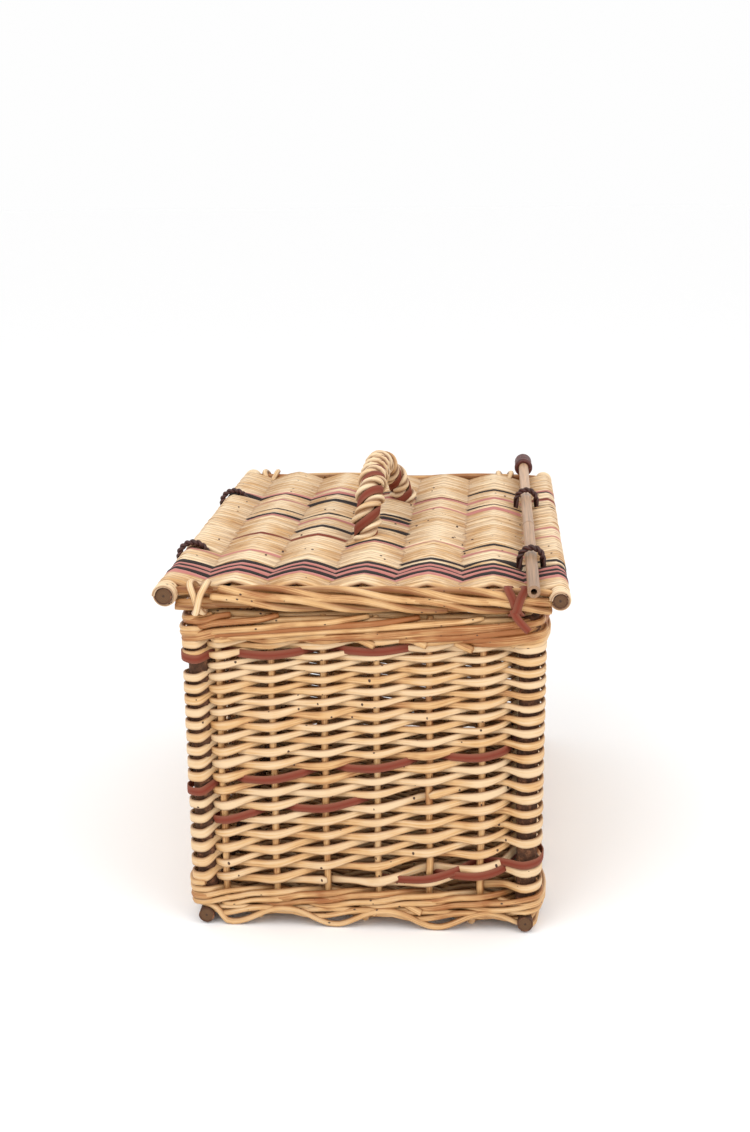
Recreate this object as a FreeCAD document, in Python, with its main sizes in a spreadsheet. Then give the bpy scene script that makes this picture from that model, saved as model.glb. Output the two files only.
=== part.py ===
"""Lidded willow hamper with a rope handle and a sliding bamboo latch stick.

Millimetres. The origin is on the floor under the middle of the basket: +Z is up, +X points
at the side that latches, and the hinged side is at -X. The long sides run along Y.
Every size is a cell of the sheet, and every piece is an object bound to those cells.
"""
import FreeCAD, Part

import math
import os
import re

doc = FreeCAD.newDocument("willow_hamper")

SIZES = {
    # body
    "body_width": (290, "outside of the side weave, along X"),
    "body_length": (440, "outside of the side weave, along Y"),
    "body_height": (275, "floor to the top of the rim border"),
    "weaver": (3, "thickness of one flattened weaver"),
    "foot_skin": (1.5, "foot border over and under the base sticks"),
    "wale_height": (22, "bottom wale"),
    "top_wale_height": (14, "top wale"),
    "rim_height": (13, "rim border"),
    "foot_outset": (4, "foot border and bottom wale beyond the side weave"),
    "top_wale_outset": (3, "top wale beyond the side weave"),
    "rim_outset": (6, "rim border beyond the side weave"),
    "rim_cap": (3, "rim border over the stakes' tips"),
    "stake_dia": (6, "side stakes"),
    "end_stake_margin": (27.25, "corner post to the nearest stake of a short wall"),
    "end_stake_shift": (-10, "how far the short walls' stakes stand off the middle"),
    "side_stake_margin": (40.5, "corner post to the nearest stake of a long wall"),
    "post_dia": (17, "corner posts"),
    "channel_gap": (0.15, "all round a rod inside the weave"),
    # base
    "base_stick_dia": (13, "outer sticks of the base"),
    "base_stick_proud": (3, "outer base sticks past the side weave"),
    "base_rod_dia": (8, "inner sticks of the base"),
    "base_rod_short": (2, "inner base sticks short of the side weave"),
    "base_thickness": (15, "woven base"),
    "base_gap": (0.3, "base weave to the foot border and outer sticks"),
    # red strips in the front wall
    "strip_height": (6.5, "flat red strip"),
    "strip_depth": (2, "flat red strip"),
    # lid
    "lid_gap": (1, "lid border over the rim"),
    "lid_end_reach": (8, "outer lid sticks past the side weave"),
    "lid_side_reach": (11, "middle of an outer lid stick past the side weave"),
    "left_stick_dia": (14, "lid stick on the hinged side"),
    "right_stick_dia": (12, "lid stick on the latch side"),
    "lid_rod_dia": (8, "inner sticks of the lid"),
    "lid_rod_tail": (10, "inner stick inside a lid border"),
    "lid_wrap": (2, "strips round an outer lid stick"),
    "lid_thickness": (14, "woven lid"),
    "lid_border_height": (20, "end borders of the lid"),
    "lid_border_depth": (15, "end borders of the lid"),
    "lid_border_round": (5, "rounding of the end borders"),
    "lid_stick_proud": (2, "outer lid sticks past the end borders"),
    "lid_fit": (0.3, "end border to the outer lid sticks"),
    # ties round the lid borders
    "tie_dia": (3, "tie"),
    "tie_proud": (0.8, "tie over the top and the outer face of its border"),
    # handle
    "handle_x": (2, "middle of the handle"),
    "handle_y": (22, "middle of the handle"),
    "handle_span": (156, "between the legs' centre lines"),
    "handle_leg": (8, "straight leg over the lid"),
    "handle_bend": (43, "bend of the centre line"),
    "handle_core_dia": (10, "bent rods inside the wrapping"),
    "handle_core_gap": (0.7, "bent rods to the lid's middle stick"),
    "handle_dia": (20, "over the rope wrapping"),
    "band_width": (6, "one turn of the red strip"),
    "band_pitch": (24, "between turns on top of the handle"),
    "band_proud": (0.3, "red strip over the rope"),
    "band_gap": (0.05, "rope to a turn of the red strip"),
    # loops
    "cord_dia": (4.4, "latch and hinge loops"),
    "loop_depth": (7, "centre of a loop's lower bend under the rim's top"),
    "latch_play": (2.3, "latch stick to its loops"),
    "hinge_play": (1.6, "wrapped lid stick to its loops"),
    "slot_gap": (2.4, "room in the lid round a loop"),
    "hinge_slot_start": (1, "hinge slot off the lid's left stick"),
    "hinge_slot_gap": (0.8, "hinge slot past the hinge loop"),
    # latch stick
    "latch_inset": (10, "middle of the latch stick inside the side weave's outside"),
    "latch_dia": (10, "bamboo"),
    "latch_front_proud": (17, "open end of the bamboo past the lid's sticks"),
    "latch_bore": (4.5, "hollow of the bamboo"),
    "latch_bore_depth": (205, "hollow up to the joint of the cane"),
    "latch_lift": (0.4, "stick over the lid"),
    "joint_sink": (0.8, "middle of the joint's ring under the cane's skin"),
    "joint_ring": (1, "radius of the joint's ring"),
    "joint_offset": (4, "joint of the cane past the end of its hollow"),
    "collar_dia": (19, "ring in front of the knob"),
    "collar_width": (4, "ring in front of the knob"),
    "knob_dia": (18, "wound knob"),
    "knob_length": (28, "straight part of the knob"),
    "knob_gap": (2, "ring to the ends of the lid sticks"),
    "knob_depth": (24, "stick inside the knob"),
    "fit_gap": (0.1, "round the stick in its knob"),
}

STAKES_PER_END = 6
STAKES_PER_SIDE = 9
BASE_RODS = 5
LID_RODS = 5
BANDS_ON_TOP = 3

sheet = doc.addObject("Spreadsheet::Sheet", "Sizes")
for row, (alias, (value, note)) in enumerate(SIZES.items(), start=1):
    sheet.set(f"A{row}", alias)
    sheet.set(f"B{row}", str(value))
    sheet.set(f"C{row}", note)
    sheet.setAlias(f"B{row}", alias)
doc.recompute()

ALIAS = re.compile(r"\b(" + "|".join(SIZES) + r")\b")

# Sizes, heights and places that several pieces share.
WALL = "(stake_dia + 2 * weaver)"
FOOT_TOP = "(base_stick_dia + 2 * foot_skin)"
WALE_TOP = f"({FOOT_TOP} + wale_height)"
RIM_BASE = "(body_height - rim_height)"
TOP_WALE_BASE = f"({RIM_BASE} - top_wale_height)"
STAKE_TOP = "(body_height - rim_cap)"
POST_X = "(body_width / 2 - weaver - post_dia / 2)"
POST_Y = "(body_length / 2 - weaver - post_dia / 2)"
END_PITCH = f"(2 * ({POST_X} - end_stake_margin) / {STAKES_PER_END - 1})"
SIDE_PITCH = f"(2 * ({POST_Y} - side_stake_margin) / {STAKES_PER_SIDE - 1})"
BASE_ROD_PITCH = f"(2 * {POST_X} / {BASE_RODS + 1})"

LID_BASE = "(body_height + lid_gap)"
LID_TOP = f"({LID_BASE} + lid_border_height)"
LID_AXIS = f"({LID_TOP} - lid_thickness / 2)"
LID_HALF = "(body_length / 2 + lid_end_reach)"
LID_WEAVE_END = f"({LID_HALF} - lid_stick_proud - lid_border_depth)"
LID_STICK_X = "(body_width / 2 + lid_side_reach)"
LID_ROD_PITCH = f"(2 * {LID_STICK_X} / {LID_RODS + 1})"

LOOP_LOW = "(body_height - loop_depth)"
LATCH_X = "(body_width / 2 - latch_inset)"
LATCH_Z = f"({LID_TOP} + latch_lift + latch_dia / 2)"
LATCH_LOOP_RADIUS = "(latch_dia / 2 + cord_dia / 2 + latch_play)"
HINGE_LOOP_RADIUS = "(left_stick_dia / 2 + lid_wrap + cord_dia / 2 + hinge_play)"
# The loops stand between side stakes: these are steps of the side stakes' pitch.
LATCH_LOOP_Y = {"front": f"(-3.5 * {SIDE_PITCH})", "rear": f"(1.8 * {SIDE_PITCH})"}
HINGE_LOOP_Y = {"front": f"(-2.5 * {SIDE_PITCH})", "rear": f"(2.5 * {SIDE_PITCH})"}

LATCH_FRONT_Y = f"(-{LID_HALF} - latch_front_proud)"
COLLAR_Y = f"({LID_HALF} + knob_gap)"
KNOB_Y = f"({COLLAR_Y} + collar_width)"

pieces = []


def bind(obj, **formulas):
    """Bind properties to the sheet; x, y and z stand for the placement's base."""
    for prop, formula in formulas.items():
        path = f"Placement.Base.{prop}" if prop in ("x", "y", "z") else prop
        obj.setExpression(path, ALIAS.sub(r"Sizes.\1", str(formula)))
    return obj


def value_of(name):
    """The sheet's value, for what can't be bound."""
    return float(sheet.get(name))


def add(kind, name, **formulas):
    return bind(doc.addObject(kind, name), **formulas)


def piece(node, obj):
    """Name an object as one of the hamper's pieces."""
    obj.Label = node
    pieces.append(obj)
    return obj


def box(name, x, y, z):
    """A box from three (low, high) pairs of formulas."""
    (x0, x1), (y0, y1), (z0, z1) = x, y, z
    return add(
        "Part::Box", name,
        Length=f"({x1}) - ({x0})", Width=f"({y1}) - ({y0})", Height=f"({z1}) - ({z0})",
        x=x0, y=y0, z=z0,
    )


def both(formula):
    """The pair (-formula, formula)."""
    return f"-({formula})", formula


def upright(name, dia, x, y, z0, z1):
    return add(
        "Part::Cylinder", name, Radius=f"({dia}) / 2", Height=f"({z1}) - ({z0})", x=x, y=y, z=z0
    )


def along_y(name, dia, x, y0, y1, z):
    rod = add("Part::Cylinder", name, Radius=f"({dia}) / 2", Height=f"({y1}) - ({y0})")
    rod.Placement.Rotation = FreeCAD.Rotation(FreeCAD.Vector(1, 0, 0), -90)
    return bind(rod, x=x, y=y0, z=z)


def group(name, members):
    """Separate solids kept as one object."""
    made = doc.addObject("Part::Compound", name)
    made.Links = members
    return made


def fuse(name, members):
    made = doc.addObject("Part::MultiFuse", name)
    made.Shapes = members
    made.Refine = True
    return made


def cut(name, base, *tools):
    """The base with each tool cut away in turn."""
    for number, tool in enumerate(tools, start=1):
        made = doc.addObject("Part::Cut", f"{name}_cut_{number}")
        made.Base = base
        made.Tool = tool
        base = made
    return base


def rounded(name, base, radius, keep):
    """Round the edges of a box whose direction keep accepts."""
    doc.recompute()
    made = doc.addObject("Part::Fillet", name)
    made.Base = base
    made.Edges = [
        (number, radius, radius)
        for number, edge in enumerate(base.Shape.Edges, start=1)
        if keep(edge.tangentAt(edge.FirstParameter))
    ]
    return made


def is_upright(direction):
    return abs(direction.z) > 0.9


def is_crosswise(direction):
    return abs(direction.x) > 0.9


def loop(name, radius, dia, low, high, x, y, quarter_turn=0):
    """A cord ring with straight legs, standing in the XZ plane or turned a quarter to YZ."""
    members = []
    for end, tip_over, height in (("upper", 90, high), ("lower", -90, low)):
        bend = add(
            "Part::Torus", f"{name}_{end}",
            Radius1=radius, Radius2=f"({dia}) / 2", Angle3="180", x=x, y=y, z=height,
        )
        bend.Placement.Rotation = (
            FreeCAD.Rotation(FreeCAD.Vector(0, 0, 1), quarter_turn)
            * FreeCAD.Rotation(FreeCAD.Vector(1, 0, 0), tip_over)
        )
        members.append(bend)
    for side, sign in (("low", "-"), ("high", "+")):
        leg_x = x if quarter_turn else f"({x}) {sign} ({radius})"
        leg_y = f"({y}) {sign} ({radius})" if quarter_turn else y
        members.append(upright(f"{name}_leg_{side}", dia, leg_x, leg_y, low, high))
    return fuse(name, members)


def with_room(maker, node, dia, *place):
    """A rod or loop as a piece, and the same with channel_gap all round, to cut with."""
    piece(node, maker(node, dia, *place))
    return maker(f"{node}_room", f"{dia} + 2 * channel_gap", *place)


def centred(count):
    """Whole or half steps that spread count pieces about the middle."""
    return [number - (count - 1) / 2 for number in range(count)]


def rods_with_room(node, maker, dia, places):
    """Like rods as one piece of separate solids, and the room for each of them."""
    rods = []
    rooms = []
    for number, place in enumerate(places, start=1):
        rods.append(maker(f"{node}_{number}", dia, *place))
        rooms.append(maker(f"{node}_room_{number}", f"{dia} + 2 * channel_gap", *place))
    piece(node, group(f"{node}_group", rods))
    return rooms


# ---- rods that the side weave holds ----------------------------------------------------------


def make_stakes():
    """The four rows of stakes and the posts; returns the room that the weave leaves them."""
    end_y = f"(body_length / 2 - {WALL} / 2)"
    side_x = f"(body_width / 2 - {WALL} / 2)"
    ends = [f"end_stake_shift + {step} * {END_PITCH}" for step in centred(STAKES_PER_END)]
    sides = [f"{step} * {SIDE_PITCH}" for step in centred(STAKES_PER_SIDE)]
    rows = {
        "stakes_front": [(x, f"-{end_y}") for x in ends],
        "stakes_rear": [(x, end_y) for x in ends],
        "stakes_left": [(f"-{side_x}", y) for y in sides],
        "stakes_right": [(side_x, y) for y in sides],
    }
    stake_rooms = []
    for node, places in rows.items():
        full = [(x, y, FOOT_TOP, STAKE_TOP) for x, y in places]
        stake_rooms += rods_with_room(node, upright, "stake_dia", full)
    post_rooms = []
    for side, x in (("left", f"-{POST_X}"), ("right", POST_X)):
        for end, y in (("front", f"-{POST_Y}"), ("rear", POST_Y)):
            node = f"corner_post_{end}_{side}"
            post_rooms.append(with_room(upright, node, "post_dia", x, y, FOOT_TOP, STAKE_TOP))
    return group("stake_rooms", stake_rooms), group("post_rooms", post_rooms)


def make_loops():
    """The latch and hinge loops; returns the room that the rim and top wale leave for them."""
    kinds = {
        "latch": (LATCH_LOOP_RADIUS, LATCH_Z, LATCH_X, LATCH_LOOP_Y),
        "hinge": (HINGE_LOOP_RADIUS, LID_AXIS, f"-{LID_STICK_X}", HINGE_LOOP_Y),
    }
    rooms = []
    for kind, (radius, high, x, places) in kinds.items():
        for end, y in places.items():

            def stand(name, dia):
                return loop(name, radius, dia, LOOP_LOW, high, x, y)

            rooms.append(with_room(stand, f"{kind}_loop_{end}", "cord_dia"))
    return group("loop_rooms", rooms)


# ---- base ------------------------------------------------------------------------------------


def make_base():
    """The base sticks and weave, and the foot border round them."""
    height = f"{FOOT_TOP} / 2"
    ends = both("body_length / 2 + base_stick_proud")
    rooms = [
        with_room(along_y, "base_stick_left", "base_stick_dia", f"-{POST_X}", *ends, height),
        with_room(along_y, "base_stick_right", "base_stick_dia", POST_X, *ends, height),
    ]
    ends = both("body_length / 2 - base_rod_short")
    places = [(f"{step} * {BASE_ROD_PITCH}", *ends, height) for step in centred(BASE_RODS)]
    rooms += rods_with_room("base_inner_sticks", along_y, "base_rod_dia", places)
    rooms = group("base_rooms", rooms)

    inner_y = f"body_length / 2 - {WALL}"
    block = box(
        "foot_block",
        both("body_width / 2 + foot_outset"), both("body_length / 2 + foot_outset"),
        ("0", FOOT_TOP),
    )
    radius = value_of("post_dia") / 2 + value_of("weaver") + value_of("foot_outset")
    hollow = box(
        "foot_hollow", both(f"{POST_X} + base_stick_dia / 2 + base_gap"), both(inner_y),
        ("-1", f"{FOOT_TOP} + 1"),
    )
    ring = rounded("foot_outline", block, radius, is_upright)
    piece("foot_border", cut("foot_border", ring, hollow, rooms))

    weave = box(
        "base_block",
        both(f"{POST_X} - base_stick_dia / 2 - base_gap"), both(f"{inner_y} - base_gap"),
        ("0", "base_thickness"),
    )
    piece("base_weave", cut("base_weave", weave, rooms))


# ---- walls -----------------------------------------------------------------------------------


def wall_ring(name, outset, z0, z1):
    """One course of the wall: a ring with the corner posts' rounding outside."""
    block = box(
        f"{name}_block",
        both(f"body_width / 2 + {outset}"), both(f"body_length / 2 + {outset}"), (z0, z1),
    )
    radius = value_of("post_dia") / 2 + value_of("weaver")
    if outset != "0":
        radius += value_of(outset)
    outline = rounded(f"{name}_outline", block, radius, is_upright)
    hollow = box(
        f"{name}_hollow",
        both(f"body_width / 2 - {WALL}"), both(f"body_length / 2 - {WALL}"),
        (f"{z0} - 1", f"{z1} + 1"),
    )
    return cut(f"{name}_ring", outline, hollow)


def make_strips():
    """The red strips of the front wall; returns the grooves they lie in."""
    corner = f"({POST_X} - 1.5)"

    def beside(step):
        """The x of a place counted in steps of the front stakes."""
        return f"(end_stake_shift + {step} * {END_PITCH})"

    # Each strip's left and right end: x, and the height over the bottom wale.
    strips = {
        "red_strip_top": ((f"-{corner}", 201), (beside(1.5), 205)),
        "red_strip_middle": ((f"-{corner}", 83), (beside(2.9), 125)),
        "red_strip_low": ((f"-{corner}", 51), (beside(0.3), 70)),
        "red_strip_corner_high": ((beside(0.8), 7), (corner, 34)),
        "red_strip_corner_low": ((beside(1.8), 6.5), (corner, 17)),
    }
    grooves = []
    for node, ((x0, rise0), (x1, rise1)) in strips.items():
        across = f"({x1} - ({x0}))"
        up = f"({rise1 - rise0})"
        for name, gap in ((node, "0"), (f"{node}_groove", "channel_gap")):
            strip = add(
                "Part::Box", name,
                Length=f"sqrt({across} * {across} + {up} * {up}) + 2 * {gap}",
                Width=f"strip_depth + 2 * {gap}",
                Height=f"strip_height + 2 * {gap}",
                x=f"{x0} - {gap}",
                y=f"-body_length / 2 - {gap}",
                z=f"{WALE_TOP} + {rise0} - strip_height / 2 - {gap}",
            )
            strip.Placement.Rotation = FreeCAD.Rotation(FreeCAD.Vector(0, -1, 0), 1)
            strip.setExpression(
                "Placement.Rotation.Angle",
                ALIAS.sub(r"Sizes.\1", f"atan2({up}; {across})"),
            )
            if name == node:
                piece(node, strip)
            else:
                grooves.append(strip)
    return grooves


def make_walls():
    """The bottom wale, the side weave, the top wale and the rim border."""
    stake_rooms, post_rooms = make_stakes()
    loop_rooms = make_loops()
    grooves = make_strips()
    courses = (
        ("bottom_wale", "foot_outset", FOOT_TOP, WALE_TOP, ()),
        ("side_weave", "0", WALE_TOP, TOP_WALE_BASE, grooves),
        ("top_wale", "top_wale_outset", TOP_WALE_BASE, RIM_BASE, (loop_rooms,)),
        ("rim_border", "rim_outset", RIM_BASE, "body_height", (loop_rooms,)),
    )
    for node, outset, z0, z1, more in courses:
        ring = wall_ring(node, outset, z0, z1)
        piece(node, cut(node, ring, stake_rooms, post_rooms, *more))


# ---- lid -------------------------------------------------------------------------------------


def make_lid():
    """The lid's sticks, weave, end borders and ties."""
    wraps = []
    stick_rooms = []
    sides = (
        ("lid_stick_left", f"-{LID_STICK_X}", "left_stick_dia"),
        ("lid_stick_right", LID_STICK_X, "right_stick_dia"),
    )
    for node, x, dia in sides:
        stick_rooms.append(with_room(along_y, node, dia, x, *both(LID_HALF), LID_AXIS))
        wrap_dia = f"{dia} + 2 * lid_wrap"
        wraps.append(along_y(f"{node}_wrap", wrap_dia, x, *both(LID_WEAVE_END), LID_AXIS))
    ends = both(f"{LID_WEAVE_END} + lid_rod_tail")
    places = [(f"{step} * {LID_ROD_PITCH}", *ends, LID_AXIS) for step in centred(LID_RODS)]
    rod_rooms = group(
        "lid_rod_rooms", rods_with_room("lid_inner_sticks", along_y, "lid_rod_dia", places)
    )
    level = (f"{LID_TOP} - lid_thickness", LID_TOP)
    sheet_block = box("lid_block", both(LID_STICK_X), both(LID_WEAVE_END), level)
    tools = (
        group("lid_stick_rooms", stick_rooms),
        rod_rooms,
        group("lid_slots", make_lid_slots()),
        set_on_lid(group("handle_holes", make_handle_holes())),
    )
    piece("lid_weave", cut("lid_weave", fuse("lid_sheet", [sheet_block, *wraps]), *tools))
    make_lid_borders(rod_rooms)


def make_lid_slots():
    """One slot for each loop: the whole loop passes it as the lid lifts."""
    level = (f"{LID_TOP} - lid_thickness - 1", f"{LID_TOP} + 1")
    half = "(cord_dia / 2 + slot_gap)"
    slots = []
    for middle in LATCH_LOOP_Y.values():
        reach = f"({LATCH_LOOP_RADIUS} + {half})"
        x = (f"{LATCH_X} - {reach}", f"{LATCH_X} + {reach}")
        slots.append(box("latch_slot", x, (f"{middle} - {half}", f"{middle} + {half}"), level))
    for middle in HINGE_LOOP_Y.values():
        x = (
            f"left_stick_dia / 2 + hinge_slot_start - {LID_STICK_X}",
            f"{HINGE_LOOP_RADIUS} + cord_dia / 2 + hinge_slot_gap - {LID_STICK_X}",
        )
        slots.append(box("hinge_slot", x, (f"{middle} - {half}", f"{middle} + {half}"), level))
    return slots


def make_lid_borders(rod_rooms):
    """The two end borders and the ties that pull them together."""
    # Steps of the inner sticks' pitch off the middle, between the last inner stick and the outer.
    ties = {"front": {"left": -2.48, "right": 2.35}, "rear": {"left": -2.6, "right": 2.21}}
    near, far = LID_WEAVE_END, f"{LID_WEAVE_END} + lid_border_depth"
    middle = f"({LID_WEAVE_END} + lid_border_depth / 2 + tie_proud / 2)"
    radius = "(lid_border_depth / 2 - tie_dia / 2)"
    low = f"{LID_BASE} + {radius} + tie_dia / 2"
    high = f"{LID_TOP} - {radius} - tie_dia / 2 + tie_proud"
    x_range = (
        f"left_stick_dia / 2 + lid_fit - {LID_STICK_X}",
        f"{LID_STICK_X} - right_stick_dia / 2 - lid_fit",
    )
    for end, sign in (("front", "-"), ("rear", "")):
        y_range = (f"-({far})", f"-({near})") if sign else (near, far)
        block = box(f"lid_border_{end}_block", x_range, y_range, (LID_BASE, LID_TOP))
        bar = rounded(f"lid_border_{end}_bar", block, value_of("lid_border_round"), is_crosswise)
        rooms = []
        for side, step in ties[end].items():
            x = f"{step} * {LID_ROD_PITCH}"

            def stand(name, dia):
                return loop(name, radius, dia, low, high, x, f"{sign}{middle}", 90)

            rooms.append(with_room(stand, f"tie_{end}_{side}", "tie_dia"))
        node = f"lid_border_{end}"
        piece(node, cut(node, bar, rod_rooms, group(f"tie_rooms_{end}", rooms)))


# ---- handle ----------------------------------------------------------------------------------


def arch(name, dia, foot):
    """The handle's line with a round section, from foot up, before it is turned and placed."""
    bend_z = f"({LID_TOP} + handle_leg)"
    members = []
    for side, sign, spin in (("rear", "", 0), ("front", "-", 180)):
        leg_y = f"{sign}(handle_span / 2)"
        members.append(upright(f"{name}_leg_{side}", dia, "0", leg_y, foot, bend_z))
        bend = add(
            "Part::Torus", f"{name}_bend_{side}",
            Radius1="handle_bend", Radius2=f"({dia}) / 2", Angle3="90",
            y=f"{sign}(handle_span / 2 - handle_bend)", z=bend_z,
        )
        bend.Placement.Rotation = (
            FreeCAD.Rotation(FreeCAD.Vector(0, 0, 1), 90 + spin)
            * FreeCAD.Rotation(FreeCAD.Vector(1, 0, 0), 90)
        )
        members.append(bend)
    run = "(handle_span / 2 - handle_bend)"
    members.append(along_y(f"{name}_top", dia, "0", *both(run), f"{bend_z} + handle_bend"))
    return fuse(name, members)


def set_on_lid(obj):
    """Turn a piece of the handle so that its front leg clears the middle stick, and place it."""
    clear = (value_of("handle_core_dia") + value_of("lid_rod_dia")) / 2
    clear += value_of("handle_core_gap") + value_of("handle_x")
    turn = -math.degrees(math.asin(clear / (value_of("handle_span") / 2)))
    obj.Placement.Rotation = FreeCAD.Rotation(FreeCAD.Vector(0, 0, 1), turn)
    return bind(obj, x="handle_x", y="handle_y")


def make_handle_holes():
    """Holes in the lid for the handle's two legs, before they are turned and placed."""
    level = (f"{LID_TOP} - lid_thickness - 1", f"{LID_TOP} + 1")
    return [
        upright("handle_hole", "handle_core_dia + 2 * channel_gap", "0", leg_y, *level)
        for leg_y in both("handle_span / 2")
    ]


def make_bands(name, gap):
    """The turns of red strip, each longer and wider by gap, before they are placed."""
    dia = f"handle_dia + 2 * (band_proud + {gap})"
    half = f"(band_width / 2 + {gap})"
    top_z = f"{LID_TOP} + handle_leg + handle_bend"
    turns = []
    for step in centred(BANDS_ON_TOP):
        span = (f"{step} * band_pitch - {half}", f"{step} * band_pitch + {half}")
        turns.append(along_y(f"{name}_top", dia, "0", *span, top_z))
    leg_z = f"({LID_TOP} + handle_leg / 2)"
    for leg_y in both("handle_span / 2"):
        span = (f"{leg_z} - {half}", f"{leg_z} + {half}")
        turns.append(upright(f"{name}_leg", dia, "0", leg_y, *span))
    return group(name, turns)


def make_handle():
    """Bent rods through the lid, a rope sleeve over them and turns of red strip between."""
    under = f"{LID_TOP} - lid_thickness"
    piece("handle_core", set_on_lid(arch("handle_core", "handle_core_dia", under)))
    sleeve = arch("handle_sleeve", "handle_dia", LID_TOP)
    tunnel = arch("handle_tunnel", "handle_core_dia + 2 * channel_gap", f"{under} - 1")
    rope = cut("handle_rope", sleeve, tunnel, make_bands("band_rooms", "band_gap"))
    piece("handle_rope", set_on_lid(rope))
    piece("handle_strip", set_on_lid(cut("handle_strip", make_bands("bands", "0"), tunnel)))


# ---- latch stick -----------------------------------------------------------------------------


def make_latch():
    """A hollow cane with a joint, and a wound knob with a ring in front of it."""
    stick_end = f"{KNOB_Y} + knob_depth"
    cane = along_y("cane", "latch_dia", LATCH_X, LATCH_FRONT_Y, stick_end, LATCH_Z)
    hollow_end = f"{LATCH_FRONT_Y} + latch_bore_depth"
    joint = add(
        "Part::Torus", "cane_joint",
        Radius1="latch_dia / 2 - joint_sink", Radius2="joint_ring",
        x=LATCH_X, y=f"{hollow_end} + joint_offset", z=LATCH_Z,
    )
    joint.Placement.Rotation = FreeCAD.Rotation(FreeCAD.Vector(1, 0, 0), 90)
    bore = along_y("cane_bore", "latch_bore", LATCH_X, f"{LATCH_FRONT_Y} - 1", hollow_end, LATCH_Z)
    piece("latch_stick", cut("latch_stick", fuse("cane_with_joint", [cane, joint]), bore))

    seat = along_y(
        "knob_seat", "latch_dia + 2 * fit_gap", LATCH_X, f"{COLLAR_Y} - 1",
        f"{stick_end} + fit_gap", LATCH_Z,
    )
    ring = along_y("collar_disc", "collar_dia", LATCH_X, COLLAR_Y, KNOB_Y, LATCH_Z)
    piece("latch_collar", cut("latch_collar", ring, seat))
    knob_end = f"{KNOB_Y} + knob_length"
    drum = along_y("knob_drum", "knob_dia", LATCH_X, KNOB_Y, knob_end, LATCH_Z)
    dome = add("Part::Sphere", "knob_dome", Radius="knob_dia / 2", x=LATCH_X, y=knob_end, z=LATCH_Z)
    piece("latch_knob", cut("latch_knob", fuse("knob_whole", [drum, dome]), seat))


make_base()
make_walls()
make_lid()
make_handle()
make_latch()
doc.recompute()

for obj in doc.Objects:
    faults = {"Invalid", "Error"} & set(obj.State)
    if faults:
        raise RuntimeError(f"{obj.Name} is {faults}")
for obj in pieces:
    if obj.Shape.isNull() or not obj.Shape.isValid():
        raise RuntimeError(f"{obj.Label} has no valid shape")

os.makedirs("parts", exist_ok=True)
for obj in pieces:
    obj.Shape.exportStep(f"parts/{obj.Label}.step")
    print(f"{obj.Label}: {len(obj.Shape.Solids)} solid(s), {obj.Shape.Volume / 1000:.1f} cm3")
print(f"{len(pieces)} pieces")
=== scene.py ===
"""A lidded willow hamper: woven walls, a woven lid, a rope handle and a sliding cane latch."""

import math
import random

import bpy
import numpy as np
from mathutils import Matrix, Vector


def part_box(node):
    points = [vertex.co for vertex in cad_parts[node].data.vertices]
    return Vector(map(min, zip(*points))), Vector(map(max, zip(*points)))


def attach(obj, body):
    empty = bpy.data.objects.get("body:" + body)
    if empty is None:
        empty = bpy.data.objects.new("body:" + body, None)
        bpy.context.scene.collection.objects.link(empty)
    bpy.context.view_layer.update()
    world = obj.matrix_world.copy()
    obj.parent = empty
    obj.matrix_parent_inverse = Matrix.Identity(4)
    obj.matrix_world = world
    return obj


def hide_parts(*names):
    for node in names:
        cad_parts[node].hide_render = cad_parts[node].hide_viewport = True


bl_info = {
    "name": "Willow Hamper",
    "version": (1, 0, 0),
    "blender": (4, 5, 0),
    "location": "3D View > Sidebar > Hamper",
    "description": "Weaves a lidded willow hamper round its fixed frame",
    "category": "Add Mesh",
}

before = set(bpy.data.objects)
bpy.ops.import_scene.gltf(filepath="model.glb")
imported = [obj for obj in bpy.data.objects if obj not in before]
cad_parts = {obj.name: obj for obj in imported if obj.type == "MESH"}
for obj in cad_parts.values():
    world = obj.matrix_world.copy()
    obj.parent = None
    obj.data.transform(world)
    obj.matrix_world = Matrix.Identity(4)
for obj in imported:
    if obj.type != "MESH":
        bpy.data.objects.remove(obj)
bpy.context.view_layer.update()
MM = 0.001

LID_AND_BASE_STICKS = 7  # the outer two included
WEAVE_LEVELS = 36
WEAVE_START = 3.0 * MM  # first weaver over the foot of the walls
BUTT_START = 4.0 * MM


# ---- sizes and colours -----------------------------------------------------------------------


def linear(hex_colour):
    """Linear red, green, blue and alpha of an sRGB hex colour."""
    channels = []
    for at in (1, 3, 5):
        value = int(hex_colour[at:at + 2], 16) / 255
        channels.append(value / 12.92 if value <= 0.04045 else ((value + 0.055) / 1.055) ** 2.4)
    return (*channels, 1.0)


def length_property(name, description, millimetres):
    """A size that a user may change, shown as a length."""
    return bpy.props.FloatProperty(
        name=name, description=description, default=millimetres * MM, min=0.0,
        precision=4, subtype="DISTANCE", unit="LENGTH",
    )


def colour_property(name, description, hex_colour):
    """A colour that a user may change."""
    return bpy.props.FloatVectorProperty(
        name=name, description=description, default=linear(hex_colour), size=4,
        min=0.0, max=1.0, subtype="COLOR",
    )


def shade_of(colour, share):
    """The colour made darker or lighter by a share."""
    return tuple(min(1.0, c * share) for c in colour[:3]) + (1.0,)


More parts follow.
